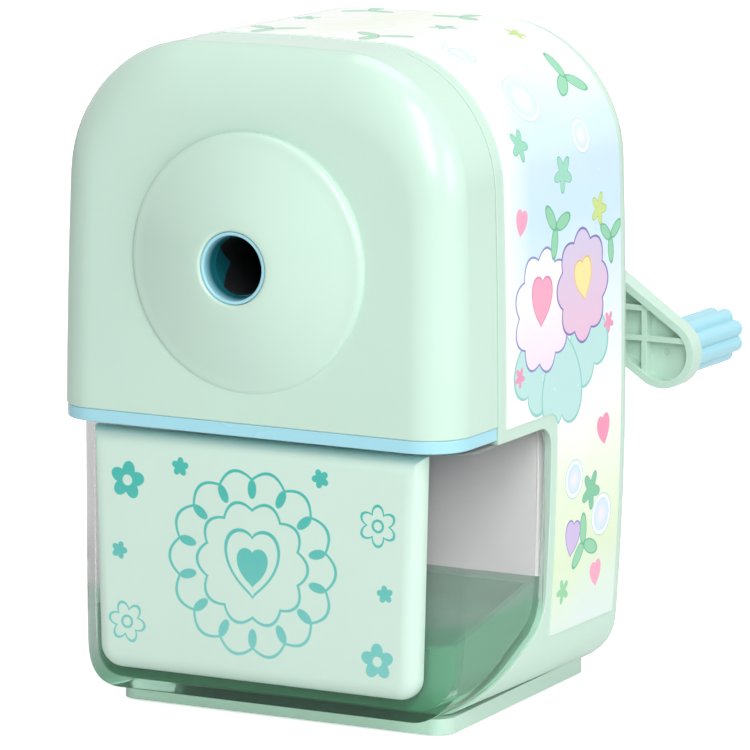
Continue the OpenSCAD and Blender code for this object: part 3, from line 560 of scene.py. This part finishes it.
def run_along(x, z):
    """Distance round the outline from the middle of the top, in millimetres."""
    x = abs(x)
    if x < CORNER_X:
        return x
    if z > SHOULDER_Z:
        return CORNER_X + CORNER_R * (math.pi / 2 - math.atan2(z - SHOULDER_Z, x - CORNER_X))
    return CORNER_X + CORNER_R * math.pi / 2 + SHOULDER_Z - z


thicken(film, 0.2, 1)
layout = film.data.uv_layers.get("print") or film.data.uv_layers.new(name="print")
for loop in film.data.loops:
    spot = film.data.vertices[loop.vertex_index].co * 1000
    layout.data[loop.index].uv = (spot.y, run_along(spot.x, spot.z))


def print_spot(t, where, at_y, at_run, turn=0.0):
    """Coordinates about one motif's centre: x, y, the distance and the angle."""
    moved = add(t, "ShaderNodeMapping", {
        "Vector": where, "Location": (at_y, at_run, 0), "Rotation": (0, 0, math.radians(turn))},
        vector_type="TEXTURE")
    flat = add(t, "ShaderNodeVectorMath", {0: moved.outputs[0], 1: (1, 1, 0)}, operation="MULTIPLY")
    split = add(t, "ShaderNodeSeparateXYZ", {0: flat.outputs[0]})
    far = add(t, "ShaderNodeVectorMath", {0: flat.outputs[0]}, operation="LENGTH")
    angle = add(t, "ShaderNodeMath", {0: split.outputs[1], 1: split.outputs[0]}, operation="ARCTAN2")
    return split.outputs[0], split.outputs[1], far.outputs[1], angle.outputs[0]


INK_BLUR = 0.06        # softness of a printed edge, in millimetres


def lay(t, below, share, colour):
    """Lays a colour, given by its code or by a socket, over the colours below."""
    colour = colour if isinstance(colour, bpy.types.NodeSocket) else srgb(colour)
    return add(t, "ShaderNodeMix", {0: share, 6: below, 7: colour}, data_type="RGBA").outputs[2]


def ink(t, below, edge_distance, fill, line=None, line_w=0.3):
    """Lays one motif over the colours below: its fill where the edge distance is negative, then its line."""
    if fill is not None:
        inside = add(t, "ShaderNodeMapRange", {0: edge_distance, 1: INK_BLUR, 2: -INK_BLUR})
        below = lay(t, below, inside.outputs[0], fill)
    if line is not None:
        away = add(t, "ShaderNodeMath", {0: edge_distance}, operation="ABSOLUTE")
        band = add(t, "ShaderNodeMapRange", {
            0: away.outputs[0], 1: line_w / 2 + INK_BLUR, 2: line_w / 2 - INK_BLUR})
        below = lay(t, below, band.outputs[0], line)
    return below


def blossom_edge(t, spot, radius, petals, depth, sharp=1.0):
    """Signed distance from a round motif with petals or points."""
    wave = add(t, "ShaderNodeMath", {0: spot[3], 1: petals / 2.0}, operation="MULTIPLY")
    beat = add(t, "ShaderNodeMath", {0: wave.outputs[0]}, operation="COSINE")
    lobe = add(t, "ShaderNodeMath", {0: beat.outputs[0]}, operation="ABSOLUTE")
    shape = add(t, "ShaderNodeMath", {0: lobe.outputs[0], 1: sharp}, operation="POWER")
    edge = add(t, "ShaderNodeMath", {
        0: shape.outputs[0], 1: radius * depth, 2: radius * (1 - depth)}, operation="MULTIPLY_ADD")
    return add(t, "ShaderNodeMath", {0: spot[2], 1: edge.outputs[0]}, operation="SUBTRACT").outputs[0]


def heart_edge(t, spot, size):
    """Signed distance, nearly, from a heart whose point is down."""
    x = add(t, "ShaderNodeMath", {0: spot[0]}, operation="ABSOLUTE")
    lift = add(t, "ShaderNodeMath", {0: x.outputs[0], 1: 0.62}, operation="POWER")
    drop = add(t, "ShaderNodeMath", {
        0: lift.outputs[0], 1: 0.58 * size ** 0.38, 2: spot[1]}, operation="MULTIPLY_ADD")
    high = add(t, "ShaderNodeMath", {0: drop.outputs[0], 1: drop.outputs[0]}, operation="MULTIPLY")
    wide = add(t, "ShaderNodeMath", {
        0: x.outputs[0], 1: x.outputs[0], 2: high.outputs[0]}, operation="MULTIPLY_ADD")
    far = add(t, "ShaderNodeMath", {0: wide.outputs[0]}, operation="SQRT")
    return add(t, "ShaderNodeMath", {0: far.outputs[0], 1: size}, operation="SUBTRACT").outputs[0]


def oval_edge(t, spot, long, short):
    """Signed distance, nearly, from an oval such as a leaf or a bubble."""
    squash = add(t, "ShaderNodeCombineXYZ", {0: spot[0], 1: spot[1]})
    even = add(t, "ShaderNodeVectorMath", {
        0: squash.outputs[0], 1: (1.0, long / short, 0)}, operation="MULTIPLY")
    far = add(t, "ShaderNodeVectorMath", {0: even.outputs[0]}, operation="LENGTH")
    away = add(t, "ShaderNodeMath", {0: far.outputs[1], 1: long}, operation="SUBTRACT")
    return add(t, "ShaderNodeMath", {0: away.outputs[0], 1: short / long}, operation="MULTIPLY").outputs[0]


# Wash of the film from the middle of the top to the foot, and its motifs: place along Y, distance round
# the outline from the middle of the top, turn and size, then what each kind adds
WASH_END = 125.0
WASH = [(0.0, "e6f1d6"), (0.10, "f0f5ee"), (0.22, "f4f8f8"), (0.36, "cfe6f6"), (0.48, "c8e4f8"),
        (0.60, "e3f0f8"), (0.72, "f6f7f3"), (0.82, "e6f1d8"), (0.90, "dcedcb"), (1.0, "dcebe6")]
PINK, ROSE, GREEN, GREEN_LINE = "f2a2bf", "e894b8", "8ccfa8", "5eb089"
LEAVES = ((-7.0, 73, 215, 6.4), (8.5, 71, 150, 6.4), (0.8, 76, 180, 6.8))
PUFFS = ((-5.5, 66, 9.6, 9, "fdfdff", "efdcec", "7f86c6"), (8.0, 64, 8.8, 8, "d0c8e3", "e7bcd6", "7a6bb4"))
HEARTS = ((-6, 65, 6, 3.4, PINK, "e0719c"), (8.4, 63.5, -8, 2.9, "f7e39a", "e6b95e"),
          (-12.5, 52, 15, 1.9, PINK, None), (15.5, 88, -10, 2.2, "ef8fb2", None),
          (5.5, 103.5, 10, 2.5, "cdb9e4", "8f7fc6"), (14.5, 110.5, -10, 1.9, PINK, None))
STARS = ((-11, 40, 10, 2.6, "8fd0b4", "62b394"), (2, 46, 25, 3.0, "9ad7c0", "5fb195"),
         (14, 53, 5, 2.6, "c8dd83", "9cbf55"), (11.5, 96.5, 12, 3.1, "74c19a", "55a883"),
         (3.2, 111, 30, 2.1, "8fcf9f", None), (17, 71, 20, 1.8, ROSE, None), (-13.5, 75, 15, 1.7, ROSE, None),
         (4, 12, 15, 2.4, "7cc7a4", None), (13, 20, 40, 2.0, "b9d97a", None))
BUBBLES = ((-4.0, 33, 4.2, 3.6), (15.5, 101, 2.9, 2.9), (5.5, 93.8, 2.6, 2.6), (9.5, 41, 2.4, 2.4),
           (-9, 22, 2.6, 2.2))
SPRIGS = ((12.5, 31, 30, 2.6), (-1, 54, -15, 2.4), (9.5, 104.5, 20, 2.4), (-12, 9, 60, 2.6),
          (17.5, 8, 10, 2.3), (17.8, 58, -30, 2.0))


def film_finish():
    """Glossy printed film: pastel washes with small hearts, stars, bubbles and sprigs."""
    finish, t = new_material("printed_pet_film")
    where = add(t, "ShaderNodeUVMap", uv_map="print").outputs[0]
    split = add(t, "ShaderNodeSeparateXYZ", {0: where})
    wander = add(t, "ShaderNodeTexNoise", {"Vector": where, "Scale": 0.05, "Detail": 2.0})
    drift = add(t, "ShaderNodeMath", {
        0: wander.outputs[0], 1: 14.0, 2: split.outputs[1]}, operation="MULTIPLY_ADD")
    along = add(t, "ShaderNodeMapRange", {0: drift.outputs[0], 1: 0.0, 2: WASH_END})
    wash = add(t, "ShaderNodeValToRGB", {0: along.outputs[0]})
    ramp = wash.color_ramp
    while len(ramp.elements) < len(WASH):
        ramp.elements.new(0.5)
    for element, (place, code) in zip(ramp.elements, WASH):
        element.position = place
        element.color = srgb(code)
    front = add(t, "ShaderNodeMapRange", {0: split.outputs[0], 1: -9.0, 2: -17.0, 3: 0.0, 4: 0.75})
    out = add(t, "ShaderNodeMix", {
        0: front.outputs[0], 6: wash.outputs[0], 7: srgb("fafafa")}, data_type="RGBA").outputs[2]
    # Broad leaves, then two large puffs and the hearts in front of them
    for y, run, turn, size in LEAVES:
        out = ink(t, out, heart_edge(t, print_spot(t, where, y, run, turn), size), "b5dfdb", "86c9c2", 0.4)
    for y, run, size, petals, low, high, line in PUFFS:
        spot = print_spot(t, where, y, run)
        shade = add(t, "ShaderNodeMapRange", {0: spot[1], 1: -size, 2: size})
        blush = add(t, "ShaderNodeMix", {0: shade.outputs[0], 6: srgb(low), 7: srgb(high)}, data_type="RGBA")
        out = ink(t, out, blossom_edge(t, spot, size, petals, 0.16), blush.outputs[2], line, 0.4)
    for y, run, turn, size, fill, line in HEARTS:
        out = ink(t, out, heart_edge(t, print_spot(t, where, y, run, turn), size), fill, line, 0.25)
    for y, run, turn, size, fill, line in STARS:
        edge = blossom_edge(t, print_spot(t, where, y, run, turn), size, 5, 0.52, 1.6)
        out = ink(t, out, edge, fill, line, 0.2)
    for y, run, long, short in BUBBLES:
        spot = print_spot(t, where, y, run)
        edge = oval_edge(t, spot, long, short)
        sheen = add(t, "ShaderNodeMapRange", {0: spot[2], 1: 0.0, 2: long})
        glass = add(t, "ShaderNodeMix", {
            0: sheen.outputs[0], 6: srgb("f4e9f2"), 7: srgb("bfe2f4")}, data_type="RGBA")
        out = ink(t, out, edge, glass.outputs[2], "ffffff", 0.5)
        ring = add(t, "ShaderNodeMath", {0: edge, 1: 0.4}, operation="SUBTRACT")
        out = ink(t, out, ring.outputs[0], None, "b5dcd8", 0.22)
    # Sprigs of three leaves
    for y, run, turn, size in SPRIGS:
        for lean, far in ((0, 1.15), (115, 0.95), (-115, 0.95)):
            a = math.radians(turn + lean)
            up, along = y + math.cos(a) * size * far, run + math.sin(a) * size * far
            spot = print_spot(t, where, up, along, turn + lean)
            out = ink(t, out, oval_edge(t, spot, size, size * 0.45), GREEN, GREEN_LINE, 0.2)
    flow = add(t, "ShaderNodeTexNoise", {"Vector": where, "Scale": 0.4, "Detail": 2.0})
    shine = add(t, "ShaderNodeMapRange", {0: flow.outputs[0], 3: 0.2, 4: 0.3})
    body = add(t, "ShaderNodeBsdfPrincipled", {"Base Color": out, "Roughness": shine.outputs[0], "IOR": 1.57})
    add(t, "ShaderNodeOutputMaterial", {"Surface": body.outputs[0]})
    return finish


done(film, "housing", film_finish(), ["wrap_film"], smooth=40)

# ---------------------------------------------------------------- front cover, with its rounded face
FACE_R, BROW_R = 7.0, 10.0       # edge of the face at its sides, and at its top
COVER_H = TOP_Z - DECK_TOP
cover = housing_block("front_cover_body", FACE_Y + FACE_R, SEAM_Y - 0.3, low=20)
edit(cover)
pick(cover, "FACE", lambda f: f.normal.y < -0.99)
for a0, a1 in quarter(9):
    roll(FACE_R, a0, a1, -1)
    rise0, rise1 = ((COVER_H - (1 - math.cos(a)) * BROW_R) / (COVER_H - (1 - math.cos(a)) * FACE_R)
                    for a in (a0, a1))
    bpy.ops.transform.resize(value=(1, 1, rise1 / rise0), center_override=(0, 0, DECK_TOP / 1000))
    lean0, lean1 = (math.atan(math.tan(LEAN) * math.sqrt(math.sin(a))) for a in (a0, a1))
    hinge = (0, (FACE_Y + FACE_R - FACE_R * math.sin(a1)) / 1000, DECK_TOP / 1000)
    bpy.ops.transform.rotate(value=lean1 - lean0, orient_axis="X", center_override=hinge)
bpy.ops.mesh.select_all(action="SELECT")
bpy.ops.mesh.bisect(plane_co=(0, 0, DECK_TOP / 1000), plane_no=(0, 0, 1), clear_inner=True)
close()
delete_faces(cover, lambda f: f.normal.y > 0.99)
thicken(cover, WALL)
combine(cover, peg("port_cut", 5.9, -45, -25, 64), "DIFFERENCE")
done(cover, "housing", mint, ["front_cover"], soft_edge=0.25)

# Raised dial: a flat rim and a dome that rises to the port
DIAL_R, RIM, PORT_H, LIP_R = 19.9, 0.9, 5.1, 5.5
axis_face = FACE_Y + (AXIS_Z - DECK_TOP) * math.tan(LEAN)
port_y = axis_face - PORT_H
DOME_IN, DOME_OUT, DOME_STEPS, CREST = LIP_R + 0.6, DIAL_R - 1.6, 12, 0.45
DOME_H = PORT_H - RIM - 0.25


def edge_arc(r, y, radius, angles):
    """Spots of a small rounded edge about a centre of (radius, y), at some angles in degrees."""
    turns = [math.radians(a) for a in angles]
    return [(r - radius * math.cos(a), y - radius * math.sin(a)) for a in turns]


dome = [(LIP_R + 0.06, port_y + 1.5), (LIP_R + 0.06, port_y + 0.35)]
dome += edge_arc(LIP_R + 0.51, port_y + CREST, CREST, (20, 40, 60, 80))
for k in range(DOME_STEPS + 1):
    rest = k / DOME_STEPS
    dome.append((DOME_IN + (DOME_OUT - DOME_IN) * rest, port_y + DOME_H * rest ** 1.25))
dome += [(DIAL_R - 1.0, axis_face - RIM - 0.14), (DIAL_R - 0.45, axis_face - RIM + 0.08),
         (DIAL_R - 0.12, axis_face - RIM + 0.4), (DIAL_R, axis_face - RIM + 0.85), (DIAL_R, axis_face + 2.2),
         (LIP_R + 0.06, axis_face + 2.2)]
dial = turned("port_dial", dome, 144)
done(dial, "housing", mint, ["front_cover"], smooth=50)

# ---------------------------------------------------------------- pencil guide, with its rounded lip
BORE, GUIDE_R, PLATE_FRONT, SLEEVE, LIP_EDGE = 4.5, 5.1, -29.0, 3.0, 0.28
lip = [(BORE + 0.12, port_y + 2.2), (BORE + 0.3, port_y + 1.3)]
lip += edge_arc(LIP_R - LIP_EDGE, port_y + 0.48, LIP_EDGE, range(0, 91, 15))
lip += [(LIP_R - 0.08, port_y + 0.24), (LIP_R, port_y + 0.4), (LIP_R, port_y + 1.1), (GUIDE_R, port_y + 1.1),
        (GUIDE_R, port_y + SLEEVE), (BORE, port_y + SLEEVE)]
guide = turned("port_lip", lip, 96)


def base_colour(finish):
    """A finish's node tree, its shader and the colour that reaches it."""
    t = finish.node_tree
    body = next(n for n in t.nodes if n.type == "BSDF_PRINCIPLED")
    return t, body, body.inputs["Base Color"].links[0].from_socket


def painted_throat_shade_finish():
    """Light blue ABS with painted shade that deepens it to teal down the port's bore."""
    finish = moulded("light_blue_abs_painted_throat_shade", "a3dae8", 0.2)
    t, body, base = base_colour(finish)
    place = add(t, "ShaderNodeSeparateXYZ", {0: add(t, "ShaderNodeTexCoord").outputs["Object"]})
    # Painted shade: the blue turns deep teal with depth into the bore
    depth = add(t, "ShaderNodeMapRange", {
        0: place.outputs[1], 1: (port_y + 0.35) / 1000, 2: (port_y + 1.9) / 1000})
    colour = add(t, "ShaderNodeMix", {0: depth.outputs[0], 6: base, 7: srgb("17626d")}, data_type="RGBA")
    t.links.new(colour.outputs[2], body.inputs["Base Color"])
    return finish


painted_throat_shade = painted_throat_shade_finish()
done(guide, "housing", painted_throat_shade, ["pencil_guide"], smooth=50)
# Black sleeve behind the lip, a dark piece of painted shade deep in the bore, with three pointed tongues of the
# guide over it
shade_sleeve = turned("guide_shade_sleeve", [
    (BORE + 0.1, port_y + SLEEVE), (GUIDE_R, port_y + SLEEVE), (GUIDE_R, PLATE_FRONT - 0.3),
    (BORE + 0.1, PLATE_FRONT - 0.3)], 72)
done(shade_sleeve, "housing", black, ["pencil_guide"], smooth=50)
TONGUE_L, TONGUE_HALF, TURNS = 4.6, 41, 14
first = trace("guide_tongue", [(BORE, port_y + SLEEVE - 0.05, AXIS_Z), (BORE, port_y + SLEEVE, AXIS_Z)])
bpy.ops.mesh.select_all(action="SELECT")
spread = math.radians(2 * TONGUE_HALF)
bpy.ops.mesh.spin(steps=TURNS, angle=spread, center=(0, 0, AXIS_Z / 1000), axis=(0, 1, 0))


def tip_side(v, reach):
    """Whether a corner is on the tongue's rear edge and within reach of its middle, in degrees."""
    turn = abs(math.degrees(math.atan2(v.co.z - AXIS_Z / 1000, v.co.x)))
    return v.co.y > (port_y + SLEEVE - 0.02) / 1000 and abs(turn - TONGUE_HALF) < reach


for rank in range(1, TURNS // 2 + 1):
    pick(first, "VERT", lambda v: tip_side(v, TONGUE_HALF * (1 - rank * 2 / TURNS) + 1))
    bpy.ops.transform.translate(value=(0, TONGUE_L * 2 / TURNS / 1000, 0))
close()
apply_modifier(first, "SOLIDIFY", thickness=0.00012, offset=0)
for turn in (186, 306, 66):
    tongue = copy_of(first, "guide_tongue")
    swing(tongue, -math.radians(turn - TONGUE_HALF))
    # The tongues sit deep in the bore, so the painted shade makes them deep teal
    done(tongue, "housing", painted_throat_shade, ["pencil_guide"], smooth=50)
bpy.data.objects.remove(first)

# ---------------------------------------------------------------- trim deck
DECK_HALF, DECK_IN, DECK_FRONT, DECK_REAR = 34.35, 32.1, FACE_Y + 0.1, -0.5
DECK_STEP = SEAM_Y - 0.3
deck = block("trim_deck_plate", [
    (-DECK_HALF, DECK_STEP), (-DECK_HALF, DECK_FRONT), (DECK_HALF, DECK_FRONT), (DECK_HALF, DECK_STEP),
    (DECK_IN, DECK_STEP), (DECK_IN, DECK_REAR), (-DECK_IN, DECK_REAR), (-DECK_IN, DECK_STEP)],
    "XY", DECK_Z, DECK_TOP, [([(-DECK_HALF, DECK_FRONT), (DECK_HALF, DECK_FRONT)], FACE_R, 14)])
chute = block("chute_cut", [
    (-21.5, -22), (21.5, -22), (21.5, -2.4), (-21.5, -2.4)], "XY", DECK_Z - 2, DECK_TOP + 2)
combine(deck, chute, "DIFFERENCE")
done(deck, "housing", sky, ["trim_deck"], soft_edge=0.22)

# ---------------------------------------------------------------- drawer
DRAWER_FRONT, DRAWER_BACK, DRAWER_GAP, DRAWER_TOP = -31.2, -2.4, 0.45, 44.2
SLOPE_GAP = 0.3        # between the drawer and the bay's slope and window
DRAWER_R, DRAWER_REAR_R = 7, 2.5


def drawer_form(name, d, top, open_top=False):
    """The drawer's form, drawn in by d: its plan, front view and side view, met together."""
    front, back, half = DRAWER_FRONT + d, DRAWER_BACK - d, HALF_W - DRAWER_GAP - d
    plan = block(name, [(-half, front), (half, front), (half, back), (-half, back)], "XY", 0, top,
                 [([(-half, front), (half, front)], DRAWER_R - d, 14),
                  ([(half, back), (-half, back)], max(DRAWER_REAR_R - d, 0.6), 8)])
    floor_z = BASE_Z + DRAWER_GAP + d
    outline = [c for c in housing_outline(DRAWER_GAP + d) if c[1] < 50]
    highest = max(z for x, z in outline)
    ends = [(x, top + 1) if abs(z - highest) < 0.01 else (x, z) for x, z in outline]
    foot = [c for c in ends if abs(c[1] - floor_z) < 0.001]
    across = block("across", ends, "XZ", -60, 20, [(foot, FOOT_R - DRAWER_GAP - d, 12)])
    combine(plan, across, "INTERSECT")
    gap = SLOPE_GAP + d
    rise = slope_z(0) + gap / math.cos(math.atan(SLOPE)) - BASE_Z
    start = ((floor_z - BASE_Z - rise) / SLOPE, floor_z)
    wall = WINDOW_BACK - gap
    corner = (wall, BASE_Z + rise + wall * SLOPE)
    roof = top + 5 if open_top else WINDOW_TOP - gap
    rounds = [([corner], (BEND_R - gap) * BEND, 10), ([start], 1.6, 5)]
    if not open_top:
        rounds.append(([(wall, roof)], WINDOW_R - gap, 8))
    corners = [(-60, floor_z), start, corner, (wall, roof), (-60, roof)]
    return combine(plan, block("sideways", corners, "YZ", -FAR, FAR, rounds), "INTERSECT")


drawer = drawer_form("drawer_box_body", 0.0, DRAWER_TOP)
apply_modifier(drawer, "BEVEL", width=0.0006, segments=3, limit_method="ANGLE", angle_limit=math.radians(50))
combine(drawer, drawer_form("drawer_hollow", 1.4, 60, open_top=True), "DIFFERENCE")
done(drawer, "drawer", smoke, ["drawer_box"], smooth=30)

tray = drawer_form("shavings_tray_body", 1.55, 44.0, open_top=True)
combine(tray, drawer_form("tray_hollow", 2.55, 60, open_top=True), "DIFFERENCE")
rim_cut = block("rim_cut", [(-35, 13.25), (-2.4, 21), (0, 21.5), (0, 60), (-35, 60)], "YZ", -FAR, FAR)
combine(tray, rim_cut, "DIFFERENCE")
done(tray, "drawer", leaf, ["shavings_tray"], smooth=30)

# Front panel, thick and softly rounded
PANEL_FRONT, PANEL_TOP, PANEL_LOW, PANEL_EDGE = -34.4, 44.2, 6.8, 2.6
PANEL_HALF_LOW, PANEL_HALF_TOP = 27.6, 28.6
panel_feet = [(-PANEL_HALF_LOW, PANEL_LOW), (PANEL_HALF_LOW, PANEL_LOW)]
panel = block("drawer_panel_body", panel_feet + [(PANEL_HALF_TOP, PANEL_TOP), (-PANEL_HALF_TOP, PANEL_TOP)],
              "XZ", DRAWER_FRONT, PANEL_FRONT + PANEL_EDGE, [(panel_feet, 3.5, 10)])
edit(panel)
pick(panel, "FACE", lambda f: at(f, 1, PANEL_FRONT + PANEL_EDGE))
for a0, a1 in quarter(8):
    roll(PANEL_EDGE, a0, a1, -1)
close()

# The panel's print. Wreath: two scalloped rings with leaves between them. Flowers: place across and up,
# turn, size, petals and whether they are filled
WREATH_Z, RING_OUT, RING_IN, LEAF_RING, LEAF_COUNT = 25.6, 14.4, 9.6, 11.5, 14
FLOWERS = ((-21.8, 36.5, 10, 3.0, 5, True), (21.6, 33.5, 30, 3.1, 6, False), (-22, 14.5, 50, 3.1, 6, False),
           (21.5, 12.8, 20, 2.8, 5, True), (-23.3, 25.5, 0, 1.4, 5, True), (22.8, 23.2, 25, 1.4, 5, True),
           (-12.5, 39.4, 15, 1.5, 5, True), (11.8, 39.8, 40, 1.5, 5, True))


def panel_finish():
    """Mint ABS with a pad-printed line drawing in teal: a wreath, a heart and small flowers."""
    finish = moulded("mint_abs_pad_printed", "cde6d9", 0.24)
    t, body, base = base_colour(finish)
    where = add(t, "ShaderNodeTexCoord").outputs["Object"]
    face = add(t, "ShaderNodeSeparateXYZ", {0: where})
    flat = add(t, "ShaderNodeCombineXYZ", {0: face.outputs[0], 1: face.outputs[2]})
    mm = add(t, "ShaderNodeVectorMath", {
        0: flat.outputs[0], 1: (1000, 1000, 0)}, operation="MULTIPLY").outputs[0]
    low = add(t, "ShaderNodeMapRange", {0: face.outputs[2], 1: 0.012, 2: 0.036})
    teal = add(t, "ShaderNodeMix", {
        0: low.outputs[0], 6: srgb("78c7c1"), 7: srgb("41b5aa")}, data_type="RGBA").outputs[2]
    centre = print_spot(t, mm, 0.0, WREATH_Z)
    out = ink(t, base, blossom_edge(t, centre, RING_OUT, LEAF_COUNT, 0.10), None, teal, 0.5)
    out = ink(t, out, blossom_edge(t, centre, RING_IN, 10, 0.14), None, teal, 0.5)
    turn = add(t, "ShaderNodeMath", {0: centre[3], 1: math.tau / LEAF_COUNT, 2: 0.0}, operation="WRAP")
    half = add(t, "ShaderNodeMath", {0: turn.outputs[0], 1: math.pi / LEAF_COUNT}, operation="SUBTRACT")
    cos = add(t, "ShaderNodeMath", {0: half.outputs[0]}, operation="COSINE")
    sin = add(t, "ShaderNodeMath", {0: half.outputs[0]}, operation="SINE")
    along = add(t, "ShaderNodeMath", {0: cos.outputs[0], 1: centre[2]}, operation="MULTIPLY")
    inward = add(t, "ShaderNodeMath", {0: along.outputs[0], 1: LEAF_RING}, operation="SUBTRACT")
    aside = add(t, "ShaderNodeMath", {0: sin.outputs[0], 1: centre[2]}, operation="MULTIPLY")
    out = ink(t, out, oval_edge(t, (inward.outputs[0], aside.outputs[0]), 1.5, 0.75), teal)
    # Heart in the middle, and flowers in the corners, the larger ones with an eye
    out = ink(t, out, heart_edge(t, print_spot(t, mm, 0.0, 24.9, 180), 4.6), None, teal, 0.5)
    out = ink(t, out, heart_edge(t, print_spot(t, mm, 0.0, 24.6, 180), 2.7), teal)
    for x, z, turn, size, petals, filled in FLOWERS:
        spot = print_spot(t, mm, x, z, turn)
        line = None if filled else teal
        out = ink(t, out, blossom_edge(t, spot, size, petals, 0.38), teal if filled else None, line, 0.45)
        if size > 2:
            out = ink(t, out, oval_edge(t, spot, size * 0.28, size * 0.28), base if filled else None, line, 0.4)
    front = add(t, "ShaderNodeMath", {0: face.outputs[1], 1: -0.0340}, operation="LESS_THAN")
    front_only = add(t, "ShaderNodeMix", {0: front.outputs[0], 6: base, 7: out}, data_type="RGBA")
    t.links.new(front_only.outputs[2], body.inputs["Base Color"])
    return finish


done(panel, "drawer", panel_finish(), ["drawer_panel"], smooth=40)

# ---------------------------------------------------------------- crank arm: a channel with crossed ribs
ARM_R, ARM_WALL, ARM_FLOOR, ARM_TILT = 5.6, 1.2, 1.2, math.radians(2)
front_end = ARM_BACK - 3.3
front_hub = front_end - ARM_L * math.tan(ARM_TILT)
rib_floor = ARM_BACK - ARM_FLOOR


def pill(name, radius, y0, y1, start=0.0):
    """A bar with a round end about the handle's axis, along X from the shaft."""
    low, high, end = AXIS_Z - radius, AXIS_Z + radius, ARM_L + radius
    return block(name, [(start, low), (end, low), (end, high), (start, high)], "XZ", y0, y1,
                 [([(end, low), (end, high)], radius - 0.001, 16)])


arm = pill("crank_arm_body", ARM_R, front_hub - 1, ARM_BACK)
edit(arm)
bpy.ops.mesh.select_all(action="SELECT")
bpy.ops.mesh.bisect(plane_co=(ARM_L / 1000, front_end / 1000, 0), clear_inner=True, use_fill=True,
                    plane_no=(-math.sin(ARM_TILT), math.cos(ARM_TILT), 0))
close()
combine(arm, pill("channel", ARM_R - ARM_WALL, front_hub - 3, rib_floor, start=5.0), "DIFFERENCE")
RIB_L, RIB_T, RIB_STEP, FIRST_RIB = 30, 0.9, 8.4, ARM_L - 3.8
ribs = None
for i in range(4):
    for angle in (ARM_A, ARM_A + math.pi / 2):
        bpy.ops.object.select_all(action="DESELECT")
        place = ((FIRST_RIB - RIB_STEP * i) / 1000, (front_end + rib_floor + 0.4) / 2000, AXIS_Z / 1000)
        bpy.ops.mesh.primitive_cube_add(size=1, location=place)
        rib = bpy.context.object
        rib.scale = (RIB_L / 1000, (rib_floor - front_end - 0.2) / 1000, RIB_T / 1000)
        rib.rotation_euler = (0, -angle, 0)
        settle(rib)
        ribs = rib if ribs is None else combine(ribs, rib, "UNION")
combine(ribs, pill("channel", ARM_R - ARM_WALL + 0.1, front_hub - 3, rib_floor + 0.1, start=5.0), "INTERSECT")
combine(arm, ribs, "UNION")
swing(arm, ARM_A)
HUB_R, HUB_FRONT, HUB_BORE = 7.5, 30.6, 3.0
hub = turned("arm_hub", [
    (HUB_BORE, HUB_FRONT), (HUB_R - 0.4, HUB_FRONT), (HUB_R - 0.1, HUB_FRONT + 0.15), (HUB_R, HUB_FRONT + 0.5),
    (HUB_R, ARM_BACK + 0.1), (HUB_R - 0.1, ARM_BACK + 0.3), (HUB_R - 0.4, ARM_BACK + 0.4),
    (HUB_BORE, ARM_BACK + 0.4)], 96)
# Round mark in the channel where the handle's pin is set
combine(arm, peg("pin_mark", 0.5, ARM_BACK - 4, ARM_BACK - 0.95, 24, (HANDLE_X, HANDLE_Z)), "DIFFERENCE")
done(arm, "crank", mint, ["crank_arm"], soft_edge=0.35, smooth=40)
done(hub, "crank", mint, ["crank_arm"], smooth=40)

# ---------------------------------------------------------------- handle, scalloped in eight lobes
KNOB_LOW, KNOB_HIGH, LOBES, PER_LOBE = ARM_BACK + 0.3, ARM_BACK + 17.8, 8, 12
KNOB_R, LOBE_R, VALLEY_R = 4.45, 1.35, 3.6
LOBE_AT = 3.1          # from the handle's axis to a lobe's centre
bpy.ops.object.select_all(action="DESELECT")
bpy.ops.mesh.primitive_cylinder_add(
    vertices=LOBES * PER_LOBE, radius=KNOB_R / 1000, depth=(KNOB_HIGH - KNOB_LOW) / 1000,
    location=(HANDLE_X / 1000, (KNOB_LOW + KNOB_HIGH) / 2000, HANDLE_Z / 1000), rotation=(math.pi / 2, 0, 0))
knob = bpy.context.object
knob.name = "handle_knob_body"
settle(knob)


def off_lobe(v):
    """Angle in degrees from a corner to the middle of its lobe."""
    turn = math.degrees(math.atan2(v.co.z - HANDLE_Z / 1000, v.co.x - HANDLE_X / 1000))
    return abs(turn % (360 / LOBES) - 180 / LOBES)


edit(knob)
for rank in range(PER_LOBE // 2 + 1):
    a = math.radians(360 / LOBES / PER_LOBE * rank)
    edge = LOBE_AT * math.cos(a) + math.sqrt(max(LOBE_R ** 2 - (LOBE_AT * math.sin(a)) ** 2, 0))
    keep = max(edge, VALLEY_R) / KNOB_R
    pick(knob, "VERT", lambda v: abs(off_lobe(v) - math.degrees(a)) < 0.5)
    bpy.ops.transform.resize(value=(keep, 1, keep), center_override=(HANDLE_X / 1000, 0, HANDLE_Z / 1000))
pick(knob, "FACE", lambda f: abs(f.normal.y) > 0.99)
bpy.ops.mesh.bevel(offset=0.0004, segments=3, affect="EDGES")
close()
combine(knob, peg("cap_cut", 2.55, KNOB_HIGH - 1.5, KNOB_HIGH + 1, 48, (HANDLE_X, HANDLE_Z)), "DIFFERENCE")
done(knob, "handle", sky, ["handle_knob"], smooth=35)

# ---------------------------------------------------------------- finishes of the CAD pieces that stay
KEPT = {
    # The wall behind the drawer is white, partly as painted light
    "bay_panel": white_abs_painted_light, "mechanism_frame": grey, "ring_gear": acetal, "inner_bush": acetal,
    "rear_bush": acetal, "base_plate": mint, "grip_pad": rubber, "base_screws": steel, "frame_screws": steel,
    "cover_screws": steel, "cutter_carrier": black, "drive_shaft": steel, "shaft_pin": steel,
    "cutter_axle": steel, "helical_cutter": steel, "cutter_pinion": acetal, "crank_washer": steel,
    "crank_screw": steel, "knob_pin": steel, "knob_cap": sky}
for node, finish in KEPT.items():
    cad[node].data.materials.clear()
    cad[node].data.materials.append(finish)
